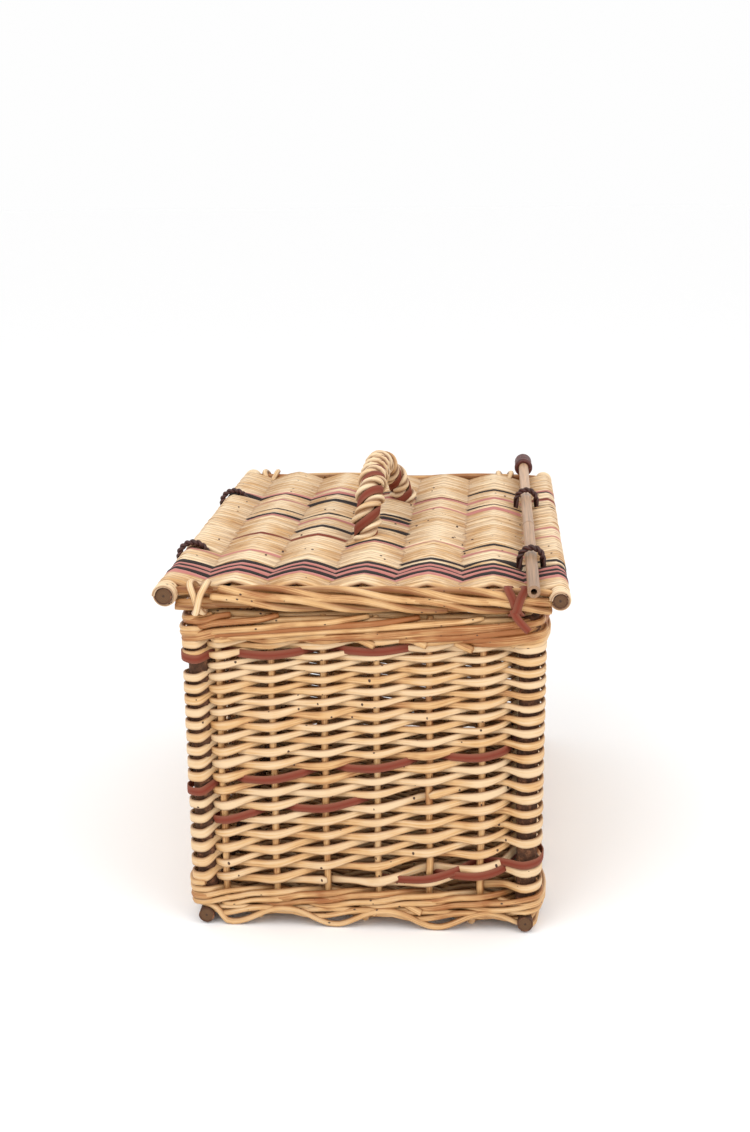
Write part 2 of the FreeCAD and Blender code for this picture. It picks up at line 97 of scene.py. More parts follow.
class HamperRods(bpy.types.PropertyGroup):
    """Sizes of the willow and of the weave."""

    weaver_width: length_property("Weaver width", "Flattened rod over a stake", 8.6)
    weaver_depth: length_property("Weaver depth", "Thickness of a flattened rod", 2.5)
    first_rise: length_property("First rise", "Rise from stake to stake at the foot", 6.9)
    last_rise: length_property("Last rise", "Rise from stake to stake at the rim", 4.5)
    wale_rod: length_property("Wale rod", "Round rod of both wales", 5.4)
    rim_rod: length_property("Rim rod", "Round rod of the rim border", 6.6)
    foot_rod: length_property("Foot rod", "Round rod of the foot border", 5.2)
    lid_strip_width: length_property("Lid strip width", "Flat strip of the lid", 7.1)
    lid_strip_depth: length_property("Lid strip depth", "Thickness of a lid strip", 2.3)
    lid_swing: length_property("Lid swing", "Strip over or under an inner stick", 8.4)
    border_rod: length_property("Border rod", "Round rod of the lid's borders", 6.2)
    base_rod: length_property("Base weaver", "Round rod of the base", 5.4)
    red_width: length_property("Red strip width", "Flat dyed strip of the walls", 7.4)
    red_depth: length_property("Red strip depth", "Thickness of a dyed strip", 1.5)
    cord_ply: length_property("Cord ply", "One of a loop cord's two plies", 3.0)


class HamperFinish(bpy.types.PropertyGroup):
    """Colours of the willow, the dyed strips, the cane and the cord."""

    # willow_light, willow and willow_dark make the ramp that a rod's tone runs along; that tone holds the
    # rod's random tone and also painted light and painted shade from the weave
    willow_light: colour_property("Willow light", "Fresh face of a peeled rod", "#e6c89f")
    willow_pale: colour_property("Willow pale", "Palest face of the lid's strips", "#fae0b8")
    willow: colour_property("Willow", "Usual peeled rod", "#d8ab72")
    willow_dark: colour_property("Willow dark", "Old or tinted peeled rod", "#a06230")
    # willow_flank_shade is painted crease shade on the flanks of each rod, where rods meet
    willow_flank_shade: colour_property("Willow edge", "Flank of a rod where skin is left", "#7c4319")
    bark: colour_property("Bark", "Rods left in their bark", "#5a3a26")
    end_grain: colour_property("End grain", "Sawn end of a stick", "#6f4d2f")
    dyed_red: colour_property("Dyed red", "Matte red strip", "#7c2b10")
    dyed_pink: colour_property("Dyed pink", "Mauve pink strip of the lid", "#bd7269")
    dyed_black: colour_property("Dyed black", "Black strip of the lid", "#231a17")
    cord: colour_property("Cord", "Twisted cord of the loops", "#3c2019")
    knob: colour_property("Knob", "Lace wound on the knob", "#4d1f1c")
    cane: colour_property("Cane", "Dry bamboo", "#d8ad86")
    floor: colour_property("Floor", "Plain studio floor", "#ffffff")


# ---- material helpers ------------------------------------------------------------------------


def new_material(name):
    """A material with an empty Principled shader, its node tree and that shader."""
    material = bpy.data.materials.new(name)
    material.use_nodes = True
    tree = material.node_tree
    return material, tree, tree.nodes["Principled BSDF"]


def add_node(tree, kind, settings=None, **links):
    """Adds a node, sets its properties, and feeds its inputs with values or with other outputs.

    A key such as in_0 or in_Scale picks the input by its number or its name."""
    node = tree.nodes.new(kind)
    for key, value in (settings or {}).items():
        setattr(node, key, value)
    for key, value in links.items():
        wanted = key[3:].replace("_", " ")
        socket = node.inputs[int(wanted)] if wanted.isdigit() else node.inputs[wanted]
        if isinstance(value, bpy.types.NodeSocket):
            tree.links.new(value, socket)
        else:
            socket.default_value = value
    return node


def set_ramp(node, *stops):
    """Gives a colour ramp its stops, each a place and a colour."""
    elements = node.color_ramp.elements
    while len(elements) > len(stops):
        elements.remove(elements[-1])
    while len(elements) < len(stops):
        elements.new(1.0)
    for element, (place, colour) in zip(elements, stops):
        element.position = place
        element.color = colour


def rod_grain(tree, long_mm, across_mm, detail=3.0):
    """Streaks along a rod, from the piece's own map, whose units are metres along and around."""
    place = add_node(tree, "ShaderNodeUVMap", {"uv_map": "rod"})
    stretched = add_node(
        tree, "ShaderNodeMapping",
        in_Vector=place.outputs["UV"],
        in_Scale=(1 / (long_mm * MM), 1 / (across_mm * MM), 1.0),
    )
    streaks = add_node(
        tree, "ShaderNodeTexNoise",
        in_Vector=stretched.outputs["Vector"], in_Scale=1.0, in_Detail=detail, in_Roughness=0.6,
    )
    return place, streaks


def bump_from(tree, shader, height, depth_mm, strength=1.0):
    """Raises the surface by a pattern."""
    bump = add_node(
        tree, "ShaderNodeBump",
        in_Height=height, in_Strength=strength, in_Distance=depth_mm * MM,
    )
    tree.links.new(bump.outputs["Normal"], shader.inputs["Normal"])


def peeled_willow(name, light, middle, dark, edge, tint=0.0):
    """Peeled willow, split or round, dried: satin skin with fine streaks, small dark buds and painted
    crease shade that darkens each rod's flanks."""
    material, tree, shader = new_material(name)
    place, streaks = rod_grain(tree, 38.0, 1.1)
    tone = add_node(tree, "ShaderNodeAttribute", {"attribute_name": "tone"})
    flank = add_node(tree, "ShaderNodeAttribute", {"attribute_name": "flank"})
    where = add_node(tree, "ShaderNodeTexCoord")
    blotches = add_node(
        tree, "ShaderNodeTexNoise",
        in_Vector=where.outputs["Object"], in_Scale=1 / (22.0 * MM), in_Detail=2.0,
    )
    # tone gives the rod, with painted light and painted shade from the weave added in; streaks and blotches
    # vary along it
    streak_share = add_node(
        tree, "ShaderNodeMath", {"operation": "MULTIPLY_ADD"},
        in_0=streaks.outputs["Fac"], in_1=1.25, in_2=tone.outputs["Fac"],
    )
    mixed = add_node(
        tree, "ShaderNodeMath", {"operation": "MULTIPLY_ADD"},
        in_0=blotches.outputs["Fac"], in_1=0.7, in_2=streak_share.outputs["Value"],
    )
    shift = add_node(
        tree, "ShaderNodeMath", {"operation": "SUBTRACT"},
        in_0=mixed.outputs["Value"], in_1=0.97 + tint,
    )
    skin = add_node(tree, "ShaderNodeValToRGB", in_Fac=shift.outputs["Value"])
    set_ramp(skin, (0.1, dark), (0.45, middle), (0.9, light))
    # painted crease shade: each rod's flanks are mixed towards the edge colour
    flank_shade_share = add_node(
        tree, "ShaderNodeMath", {"operation": "MULTIPLY"},
        in_0=flank.outputs["Fac"], in_1=0.84,
    )
    with_flank_shade = add_node(
        tree, "ShaderNodeMix", {"data_type": "RGBA"},
        in_0=flank_shade_share.outputs["Value"], in_6=skin.outputs["Color"], in_7=edge,
    )
    # buds and specks: one in half of the 9 mm cells, about 2 mm across
    cells = add_node(
        tree, "ShaderNodeTexVoronoi",
        in_Vector=place.outputs["UV"], in_Scale=1 / (9.0 * MM), in_Randomness=1.0,
    )
    near = add_node(
        tree, "ShaderNodeMath", {"operation": "LESS_THAN"},
        in_0=cells.outputs["Distance"], in_1=0.12,
    )
    chosen = add_node(tree, "ShaderNodeSeparateColor", in_Color=cells.outputs["Color"])
    few = add_node(
        tree, "ShaderNodeMath", {"operation": "GREATER_THAN"},
        in_0=chosen.outputs["Red"], in_1=0.5,
    )
    speck = add_node(
        tree, "ShaderNodeMath", {"operation": "MULTIPLY"},
        in_0=near.outputs["Value"], in_1=few.outputs["Value"],
    )
    final = add_node(
        tree, "ShaderNodeMix", {"data_type": "RGBA"},
        in_0=speck.outputs["Value"], in_6=with_flank_shade.outputs[2], in_7=linear("#4a2c1a"),
    )
    tree.links.new(final.outputs[2], shader.inputs["Base Color"])
    shine = add_node(
        tree, "ShaderNodeMapRange",
        in_Value=streaks.outputs["Fac"], in_3=0.42, in_4=0.62,
    )
    tree.links.new(shine.outputs["Result"], shader.inputs["Roughness"])
    shader.inputs["IOR"].default_value = 1.48
    bump_from(tree, shader, streaks.outputs["Fac"], 0.5, 0.6)
    return material


def dyed_strip(name, colour, worn, roughness=0.75):
    """Willow skein dyed through: matte, with streaks along it and a paler worn edge."""
    material, tree, shader = new_material(name)
    streaks = rod_grain(tree, 30.0, 1.0)[1]
    # tone holds the strip's random tone and, on the lid, painted light over sticks and painted shade
    # between them
    tone = add_node(tree, "ShaderNodeAttribute", {"attribute_name": "tone"})
    flank = add_node(tree, "ShaderNodeAttribute", {"attribute_name": "flank"})
    added = add_node(
        tree, "ShaderNodeMath", {"operation": "MULTIPLY_ADD"},
        in_0=streaks.outputs["Fac"], in_1=0.8, in_2=tone.outputs["Fac"],
    )
    level = add_node(
        tree, "ShaderNodeMath", {"operation": "MULTIPLY"},
        in_0=added.outputs["Value"], in_1=0.6,
    )
    faded = tuple(0.75 * a + 0.25 * b for a, b in zip(colour, worn))
    body = add_node(tree, "ShaderNodeValToRGB", in_Fac=level.outputs["Value"])
    set_ramp(body, (0.2, shade_of(colour, 0.62)), (0.6, colour), (0.95, faded))
    rubbed = add_node(
        tree, "ShaderNodeMath", {"operation": "MULTIPLY"},
        in_0=flank.outputs["Fac"], in_1=0.35,
    )
    mixed = add_node(
        tree, "ShaderNodeMix", {"data_type": "RGBA"},
        in_0=rubbed.outputs["Value"], in_6=body.outputs["Color"], in_7=worn,
    )
    tree.links.new(mixed.outputs[2], shader.inputs["Base Color"])
    shader.inputs["Roughness"].default_value = roughness
    shader.inputs["IOR"].default_value = 1.48
    bump_from(tree, shader, streaks.outputs["Fac"], 0.3, 0.5)
    return material


def bark_skin(name, bark):
    """Willow bark: matte grey-brown, rough along the rod, with pale cracks."""
    material, tree, shader = new_material(name)
    where = add_node(tree, "ShaderNodeTexCoord")
    crust = add_node(
        tree, "ShaderNodeTexNoise",
        in_Vector=where.outputs["Object"], in_Scale=1 / (5.0 * MM), in_Detail=5.0, in_Roughness=0.7,
    )
    skin = add_node(tree, "ShaderNodeValToRGB", in_Fac=crust.outputs["Fac"])
    set_ramp(skin, (0.3, shade_of(bark, 0.4)), (0.52, bark), (0.72, shade_of(bark, 3.2)))
    tree.links.new(skin.outputs["Color"], shader.inputs["Base Color"])
    shader.inputs["Roughness"].default_value = 0.85
    shader.inputs["IOR"].default_value = 1.45
    bump_from(tree, shader, crust.outputs["Fac"], 0.8, 0.8)
    return material


def sawn_end(name, colour, centre):
    """A sawn willow end: rings about 1.1 mm apart round a dark pith."""
    material, tree, shader = new_material(name)
    where = add_node(tree, "ShaderNodeTexCoord")
    centred = add_node(
        tree, "ShaderNodeMapping", {"vector_type": "POINT"},
        in_Vector=where.outputs["Object"],
        in_Location=(-centre[0], 0.0, -centre[1]),
        in_Scale=(1.0, 0.0, 1.0),
    )
    reach = add_node(
        tree, "ShaderNodeVectorMath", {"operation": "LENGTH"}, in_0=centred.outputs["Vector"],
    )
    rough = add_node(
        tree, "ShaderNodeTexNoise",
        in_Vector=where.outputs["Object"], in_Scale=1 / (1.6 * MM), in_Detail=3.0,
    )
    wobble = add_node(
        tree, "ShaderNodeMath", {"operation": "MULTIPLY_ADD"},
        in_0=rough.outputs["Fac"], in_1=0.0009, in_2=reach.outputs["Value"],
    )
    ring = add_node(
        tree, "ShaderNodeMath", {"operation": "MULTIPLY"},
        in_0=wobble.outputs["Value"], in_1=2 * math.pi / (1.1 * MM),
    )
    wave = add_node(tree, "ShaderNodeMath", {"operation": "SINE"}, in_0=ring.outputs["Value"])
    level = add_node(
        tree, "ShaderNodeMapRange",
        in_Value=wave.outputs["Value"], in_1=-1.0, in_2=1.0, in_3=0.0, in_4=1.0,
    )
    rings = add_node(
        tree, "ShaderNodeMix", {"data_type": "RGBA"},
        in_0=level.outputs["Result"], in_6=shade_of(colour, 0.6), in_7=colour,
    )
    pith = add_node(
        tree, "ShaderNodeMath", {"operation": "LESS_THAN"},
        in_0=reach.outputs["Value"], in_1=1.0 * MM,
    )
    final = add_node(
        tree, "ShaderNodeMix", {"data_type": "RGBA"},
        in_0=pith.outputs["Value"], in_6=rings.outputs[2], in_7=linear("#3f2a1a"),
    )
    tree.links.new(final.outputs[2], shader.inputs["Base Color"])
    shader.inputs["Roughness"].default_value = 0.8
    bump_from(tree, shader, level.outputs["Result"], 0.3, 0.6)
    return material


def dry_cane(name, cane, joint_y):
    """Dry bamboo: satin skin with fine fibres along it, greyer towards its open end and a
    darker ring at the joint."""
    material, tree, shader = new_material(name)
    where = add_node(tree, "ShaderNodeTexCoord")
    long = add_node(
        tree, "ShaderNodeMapping",
        in_Vector=where.outputs["Object"],
        in_Scale=(1 / (1.2 * MM), 1 / (60.0 * MM), 1 / (1.2 * MM)),
    )
    fibres = add_node(
        tree, "ShaderNodeTexNoise",
        in_Vector=long.outputs["Vector"], in_Scale=1.0, in_Detail=4.0, in_Roughness=0.6,
    )
    split = add_node(tree, "ShaderNodeSeparateXYZ", in_Vector=where.outputs["Object"])
    fade = add_node(
        tree, "ShaderNodeMapRange",
        in_Value=split.outputs["Y"], in_1=-0.25, in_2=0.10, in_3=0.0, in_4=1.0,
    )
    grey = add_node(
        tree, "ShaderNodeMix", {"data_type": "RGBA"},
        in_0=fade.outputs["Result"], in_6=linear("#a98363"), in_7=cane,
    )
    shade = add_node(
        tree, "ShaderNodeMapRange",
        in_Value=fibres.outputs["Fac"], in_1=0.3, in_2=0.7, in_3=0.5, in_4=1.0,
    )
    darker = add_node(
        tree, "ShaderNodeMix", {"data_type": "RGBA", "blend_type": "MULTIPLY"},
        in_0=1.0, in_6=grey.outputs[2], in_7=shade.outputs["Result"],
    )
    off = add_node(
        tree, "ShaderNodeMath", {"operation": "SUBTRACT"},
        in_0=split.outputs["Y"], in_1=joint_y,
    )
    away = add_node(tree, "ShaderNodeMath", {"operation": "ABSOLUTE"}, in_0=off.outputs["Value"])
    ring = add_node(
        tree, "ShaderNodeMapRange",
        in_Value=away.outputs["Value"], in_1=0.0, in_2=2.2 * MM, in_3=0.55, in_4=0.0,
    )
    final = add_node(
        tree, "ShaderNodeMix", {"data_type": "RGBA"},
        in_0=ring.outputs["Result"], in_6=darker.outputs[2], in_7=linear("#7a5540"),
    )
    tree.links.new(final.outputs[2], shader.inputs["Base Color"])
    shader.inputs["Roughness"].default_value = 0.4
    shader.inputs["IOR"].default_value = 1.5
    bump_from(tree, shader, fibres.outputs["Fac"], 0.25, 0.5)
    return material


def waxed_cord(name, colour, glint, roughness):
    """Waxed twisted cord or lace: dark, with fibres that run slantwise round each ply."""
    material, tree, shader = new_material(name)
    place = add_node(tree, "ShaderNodeUVMap", {"uv_map": "rod"})
    slanted = add_node(
        tree, "ShaderNodeMapping",
        in_Vector=place.outputs["UV"],
        in_Rotation=(0.0, 0.0, math.radians(35)),
        in_Scale=(1 / (6.0 * MM), 1 / (0.7 * MM), 1.0),
    )
    fibres = add_node(
        tree, "ShaderNodeTexNoise",
        in_Vector=slanted.outputs["Vector"], in_Scale=1.0, in_Detail=3.0,
    )
    body = add_node(tree, "ShaderNodeValToRGB", in_Fac=fibres.outputs["Fac"])
    set_ramp(body, (0.3, shade_of(colour, 0.45)), (0.5, colour), (0.75, glint))
    tree.links.new(body.outputs["Color"], shader.inputs["Base Color"])
    shader.inputs["Roughness"].default_value = roughness
    bump_from(tree, shader, fibres.outputs["Fac"], 0.35, 0.8)
    return material


class Finishes:
    """The materials, each made when it is first asked for."""

    made = {}

    @classmethod
    def get(cls, name):
        """The material of that name."""
        if name not in cls.made:
            cls.made[name] = cls.make(name)
        return cls.made[name]

    @staticmethod
    def make(name):
        """Makes one material from the colours in the panel."""
        own = bpy.context.scene.hamper_finish
        worn = linear("#a98468")
        willow = (own.willow_light[:], own.willow[:], own.willow_dark[:], own.willow_flank_shade[:])
        makers = {
            "peeled_willow": lambda: peeled_willow("peeled_willow", *willow),
            "peeled_willow_pale": lambda: peeled_willow(
                "peeled_willow_pale", own.willow_pale[:], *willow[1:], tint=-0.24,
            ),
            "red_skein": lambda: dyed_strip("red_skein", own.dyed_red[:], worn),
            "pink_skein": lambda: dyed_strip("pink_skein", own.dyed_pink[:], linear("#e0b3a4")),
            "black_skein": lambda: dyed_strip("black_skein", own.dyed_black[:], linear("#4b3a33"), 0.8),
            "willow_bark": lambda: bark_skin("willow_bark", own.bark[:]),
            "loop_cord": lambda: waxed_cord("loop_cord", own.cord[:], linear("#7a3b33"), 0.5),
            "knob_lace": lambda: waxed_cord("knob_lace", own.knob[:], linear("#8f4a3c"), 0.42),
        }
        return makers[name]()


# ---- shaping helpers -------------------------------------------------------------------------


def middle_of(node):
    """The middle of a CAD node's box."""
    low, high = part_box(node)
    return (low + high) / 2


def smooth_line(rows, steps):
    """A smooth line through rows of values, whose first three are a place."""
    rows = np.asarray(rows, float)
    gaps = np.maximum(np.linalg.norm(np.diff(rows[:, :3], axis=0), axis=1), 1e-6)
    slopes = np.diff(rows, axis=0) / gaps[:, None]
    inner = slopes[:-1] * gaps[1:, None] + slopes[1:] * gaps[:-1, None]
    inner /= (gaps[:-1] + gaps[1:])[:, None]
    slopes = np.vstack([slopes[:1], inner, slopes[-1:]])
    t = (np.arange(steps) / steps)[None, :, None]
    h = gaps[:, None, None]
    line = (1 + 2 * t) * (1 - t) ** 2 * rows[:-1, None]
    line = line + t * (1 - t) ** 2 * h * slopes[:-1, None]
    line = line + t * t * (3 - 2 * t) * rows[1:, None]
    line = line + t * t * (t - 1) * h * slopes[1:, None]
    return np.vstack([line.reshape(-1, rows.shape[1]), rows[-1:]])


def unit(vectors):
    """The vectors at length one."""
    return vectors / np.maximum(np.linalg.norm(vectors, axis=-1, keepdims=True), 1e-12)


class Strands:
    """Rods and strips swept along their lines, gathered in one mesh.

    A line's rows hold a place, the way its flat face looks, a width, a depth and a tone."""

    def __init__(self, sides=8, squareness=2.6, flank_power=4.0):
        angle = 2 * math.pi * np.arange(sides) / sides
        power = 2 / squareness
        self.side = np.sign(np.cos(angle)) * np.abs(np.cos(angle)) ** power
        self.rise = np.sign(np.sin(angle)) * np.abs(np.sin(angle)) ** power
        self.sides = sides
        self.flank_power = flank_power
        self.points = []
        self.faces = []
        self.maps = []
        self.tones = []
        self.flanks = []
        self.slots = []
        self.count = 0

    def add(self, line, slot=0, shift=0.0, blunt=0.85):
        """Sweeps one strand along its line."""
        n = self.sides
        place = line[:, :3]
        along, travelled = lengthways(place)
        face, across = squared_off(along, line[:, 3:6])
        width = line[:, 6].copy()
        depth = line[:, 7].copy()
        width[[0, -1]] *= blunt
        depth[[0, -1]] *= blunt
        rings = place[:, None] + across[:, None] * (self.side[None, :, None] * width[:, None, None] / 2)
        rings = rings + face[:, None] * (self.rise[None, :, None] * depth[:, None, None] / 2)
        count = len(line)
        self.points.append(rings.reshape(-1, 3))
        start = self.count + np.arange(count - 1)[:, None] * n
        here = start + np.arange(n)[None, :]
        after = start + (np.arange(n)[None, :] + 1) % n
        quads = np.stack([here, here + n, after + n, after], axis=-1).reshape(-1, 4)
        self.faces += quads.tolist()
        u = travelled + shift
        girth = 2.2 * (line[0, 6] + line[0, 7])
        v = np.arange(n + 1) / n * girth + shift * 7.0
        low_u = np.repeat(u[:-1], n)
        high_u = np.repeat(u[1:], n)
        low_v = np.tile(v[:-1], count - 1)
        high_v = np.tile(v[1:], count - 1)
        corners = np.stack([low_u, low_v, high_u, low_v, high_u, high_v, low_u, high_v], axis=-1)
        self.maps.append(corners.reshape(-1, 2))
        self.faces.append(list(range(self.count, self.count + n)))
        last = self.count + (count - 1) * n
        self.faces.append(list(range(last + n - 1, last - 1, -1)))
        for end_u in (u[0], u[-1]):
            ring_map = np.stack([end_u + self.side * 0.002, v[0] + self.rise * 0.002], axis=-1)
            self.maps.append(ring_map if end_u == u[0] else ring_map[::-1])
        self.slots += [slot] * (len(quads) + 2)
        self.tones.append(np.repeat(line[:, 8], n))
        # flank is 0 on a rod's middle and 1 at its sides: peeled willow darkens there as painted crease
        # shade, dyed strips turn paler there as wear
        self.flanks.append(np.tile(np.abs(self.side) ** self.flank_power, count))
        self.count += count * n

    def make(self, name, *finishes):
        """Makes the mesh object, with its map, its tones and its flanks."""
        mesh = bpy.data.meshes.new(name)
        points = np.vstack(self.points)
        mesh.from_pydata(points.tolist(), [], self.faces)
        rod_map = mesh.uv_layers.new(name="rod")
        rod_map.data.foreach_set("uv", np.vstack(self.maps).astype(np.float32).ravel())
        for label, values in (("tone", self.tones), ("flank", self.flanks)):
            layer = mesh.attributes.new(label, "FLOAT", "POINT")
            layer.data.foreach_set("value", np.concatenate(values).astype(np.float32))
        for finish in finishes:
            mesh.materials.append(Finishes.get(finish))
        mesh.polygons.foreach_set("material_index", self.slots)
        mesh.polygons.foreach_set("use_smooth", [True] * len(mesh.polygons))
        mesh.update()
        made = bpy.data.objects.new(name, mesh)
        bpy.context.scene.collection.objects.link(made)
        return made


def settle(piece, body, slot, *nodes):
    """Gives a finished piece its body and hides the CAD nodes that it stands for; slot is not used."""
    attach(piece, body)
    if nodes:
        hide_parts(*nodes)
    return piece


def row(place, face, width, depth, tone):
    """One row of a strand's line."""
    return [*place, *face, width, depth, tone]


def even_line(places, faces, width, depth, tone):
    """A strand's line whose width, depth and tone stay the same."""
    plain = [np.full((len(places), 1), value) for value in (width, depth, tone)]
    return np.hstack([places, faces, *plain])


def around(out, beside, angle):
    """The ways that turn from out towards beside by an angle at each place."""
    return out * np.cos(angle)[:, None] + beside * np.sin(angle)[:, None]


def lengthways(line):
    """The forward way at each place of a line, and how far along it the place is."""
    steps = np.linalg.norm(np.diff(line, axis=0), axis=1)
    return unit(np.gradient(line, axis=0)), np.concatenate([[0.0], np.cumsum(steps)])


def squared_off(along, ways):
    """The ways turned square to a line, and the third way beside them."""
    out = unit(ways - along * np.sum(ways * along, axis=1, keepdims=True))
    return out, np.cross(along, out)


def straight_rods(strands, places_x, low, high, level, dia):
    """Round rods along Y at each X."""
    for place_x in places_x:
        rows = []
        for place_y in np.linspace(low.y, high.y, 5):
            rows.append(row((place_x, place_y, level), (0, 0, 1), dia, dia, 0.5))
        strands.add(smooth_line(rows, 3), shift=place_x)


# ---- plan of the uprights --------------------------------------------------------------------

WALLS = (
    # wall, axis along it, outward way, sense along the axis, corner post before it
    ("front", 0, (0.0, -1.0), 1, "corner_post_front_left"),
    ("right", 1, (1.0, 0.0), 1, "corner_post_front_right"),
    ("rear", 0, (0.0, 1.0), -1, "corner_post_rear_right"),
    ("left", 1, (-1.0, 0.0), -1, "corner_post_rear_left"),
)
STAKES = {"front": 6, "right": 9, "rear": 6, "left": 9}


def uprights():
    """Posts and stakes, anticlockwise from the front left post."""
    ring = []
    before = WALLS[-1][2]
    for wall, axis, outward, sense, post in WALLS:
        middle = middle_of(post)
        low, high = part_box(post)
        ring.append({
            "place": np.array([middle.x, middle.y]), "ways": [np.array(before), np.array(outward)],
            "radius": (high.x - low.x) / 2, "corner": True, "wall": wall,
        })
        low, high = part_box(f"stakes_{wall}")
        radius = (high[1 - axis] - low[1 - axis]) / 2
        spots = np.linspace(low[axis] + radius, high[axis] - radius, STAKES[wall])
        for spot in spots[::sense]:
            place = np.array([0.0, 0.0])
            place[axis] = spot
            place[1 - axis] = (low[1 - axis] + high[1 - axis]) / 2
            ring.append({
                "place": place, "ways": [np.array(outward)],
                "radius": radius, "corner": False, "wall": wall,
            })
        before = outward
    return ring


def passing_points(upright, side, gap):
    """Where a rod's middle passes an upright: places and outward ways, gap from its skin."""
    reach = upright["radius"] + gap
    if not upright["corner"]:
        way = upright["ways"][0]
        return [(upright["place"] + way * reach * side, way)]
    before, after = upright["ways"]
    diagonal = (before + after) / math.sqrt(2)
    if side > 0:
        ways = (before, diagonal, after)
        return [(upright["place"] + way * reach, way) for way in ways]
    return [(upright["place"] - diagonal * reach, diagonal)]


def midway(ring, index):
    """Half way to the next upright, on the line of the stakes, and the outward way there."""
    here = ring[index % len(ring)]
    after = ring[(index + 1) % len(ring)]
    return (here["place"] + after["place"]) / 2, here["ways"][-1]


# ---- side weave ------------------------------------------------------------------------------


def randing_height(rods, level, foot):
    """Height of a weaver's outer stroke after so many uprights, from foot up."""
    fall = (rods.first_rise - rods.last_rise) / WEAVE_LEVELS
    return foot + rods.first_rise * level - fall * level * level / 2


def weaver_rows(ring, rods, first, start, stop, foot, chance, red=False):
    """Rows of one weaver: outside every second upright, and steep where it goes inside."""
    rows = []
    width = rods.red_width if red else rods.weaver_width
    depth = rods.red_depth if red else rods.weaver_depth
    tone = 0.5 if red else chance.uniform(0.42, 0.88)
    for level in range(start, stop + 1):
        index = (first + level) % len(ring)
        upright = ring[index]
        outside = level % 2 == 0
        thin = 1.0 - 0.22 * level / WEAVE_LEVELS
        height = randing_height(rods, level, foot)
        after = randing_height(rods, level + 1, foot)
        rise = after - height
        height += 0.0 if outside else 0.55 * rise
        height += 0.0 if red else chance.gauss(0.0, 0.35 * MM)
        wide = width if red else width * thin * chance.uniform(0.86, 1.12)
        # painted light and painted shade: outer strokes are lightened and inner strokes darkened on top of
        # the rod's random tone
        tint = tone if red else tone + chance.uniform(-0.07, 0.07) + (0.08 if outside else -0.10)
        gap = depth / 2 + (2.2 * MM if red else chance.uniform(0.0, 0.4) * MM)
        gap += 2.4 * MM if upright["corner"] else 0.0
        points = passing_points(upright, 1 if outside else -1, gap)
        tilt = 0.18 * rise
        for number, (place, way) in enumerate(points):
            lift = (number - (len(points) - 1) / 2) * tilt
            rows.append(row((*place, height + lift), (*way, 0.0), wide, depth, tint))
        if level < stop:
            place, way = midway(ring, index)
            after += 0.55 * rise if outside else 0.0
            pinch = 0.95 if red else 0.74
            middle = (height + after) / 2
            place = place + way * (3.2 * MM if red else 0.0)
            # painted shade: half way between uprights the weaver is darker, most where it turns inside
            rows.append(row(
                (*place, middle), (*way, 0.0), wide * pinch, depth * 1.12,
                tint - (0.0 if red else (0.12 if outside else 0.02)),
            ))
    return rows


# the dyed strips of the front wall: node, the weaver that each follows, first and last level,
# and how far above that weaver it starts and ends, in millimetres
RED_STRIPS = (
    ("red_strip_middle", -12, 11, 19, 0.0, 0.0),
    ("red_strip_low", -7, 7, 11, 0.0, 0.0),
    ("red_strip_top", -32, 31, 37, 11.0, -6.0),
    ("red_strip_corner_high", 3, 1, 6, -11.0, 0.0),
    ("red_strip_corner_low", 6, -1, 2, 9.0, 7.0),
)


class HAMPER_OT_side_weave(bpy.types.Operator):
    """Weave the walls in French randing: every weaver starts at its own stake"""

    bl_idname = "hamper.side_weave"
    bl_label = "Weave the Walls"
    bl_options = {"REGISTER", "UNDO"}

    def execute(self, context):
        rods = context.scene.hamper_rods
        ring = uprights()
        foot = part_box("side_weave")[0].z + WEAVE_START
        omitted = set()
        for strip in RED_STRIPS:
            first, start, stop = strip[1:4]
            omitted.update((first % len(ring), level) for level in range(start, stop + 1))
        quarter = math.ceil(len(ring) / 4)
        for part in range(4):
            strands = Strands(sides=10, squareness=3.6)
            for first in range(part * quarter, min(len(ring), (part + 1) * quarter)):
                chance = random.Random(100 + first)
                self.weave(strands, ring, rods, first, foot, omitted, chance)
            piece = strands.make(f"side_weavers_{part + 1}", "peeled_willow")
            settle(piece, "basket", "peeled_willow", "side_weave")
        return {"FINISHED"}

    def weave(self, strands, ring, rods, first, foot, omitted, chance):
        """One weaver, in as many lengths as the dyed strips leave."""
        level = -1
        while level <= WEAVE_LEVELS + 1:
            if (first, level) in omitted:
                level += 1
                continue
            end = level
            while end < WEAVE_LEVELS + 1 and (first, end + 1) not in omitted:
                end += 1
            if end > level:
                rows = weaver_rows(ring, rods, first, level, end, foot, chance)
                strands.add(smooth_line(rows, 5), shift=chance.uniform(0.0, 5.0), blunt=0.6)
            level = end + 1


class HAMPER_OT_red_strips(bpy.types.Operator):
    """Lay the dyed strips in the front wall, each in the place of a weaver"""

    bl_idname = "hamper.red_strips"
    bl_label = "Dyed Strips"
    bl_options = {"REGISTER", "UNDO"}

    def execute(self, context):
        rods = context.scene.hamper_rods
        ring = uprights()
        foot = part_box("side_weave")[0].z + WEAVE_START
        for node, first, start, stop, lift, end_lift in RED_STRIPS:
            chance = random.Random(first + 50)
            rows = np.array(weaver_rows(ring, rods, first, start, stop, foot, chance, red=True))
            rows[:, 2] += np.linspace(lift, end_lift, len(rows)) * MM
            strands = Strands(sides=8, squareness=5.0)
            strands.add(smooth_line(rows, 8), shift=chance.uniform(0.0, 5.0), blunt=0.9)
            settle(strands.make(f"{node}_skein", "red_skein"), "basket", "red_strip", node)
        return {"FINISHED"}


# ---- uprights, wales and borders -------------------------------------------------------------


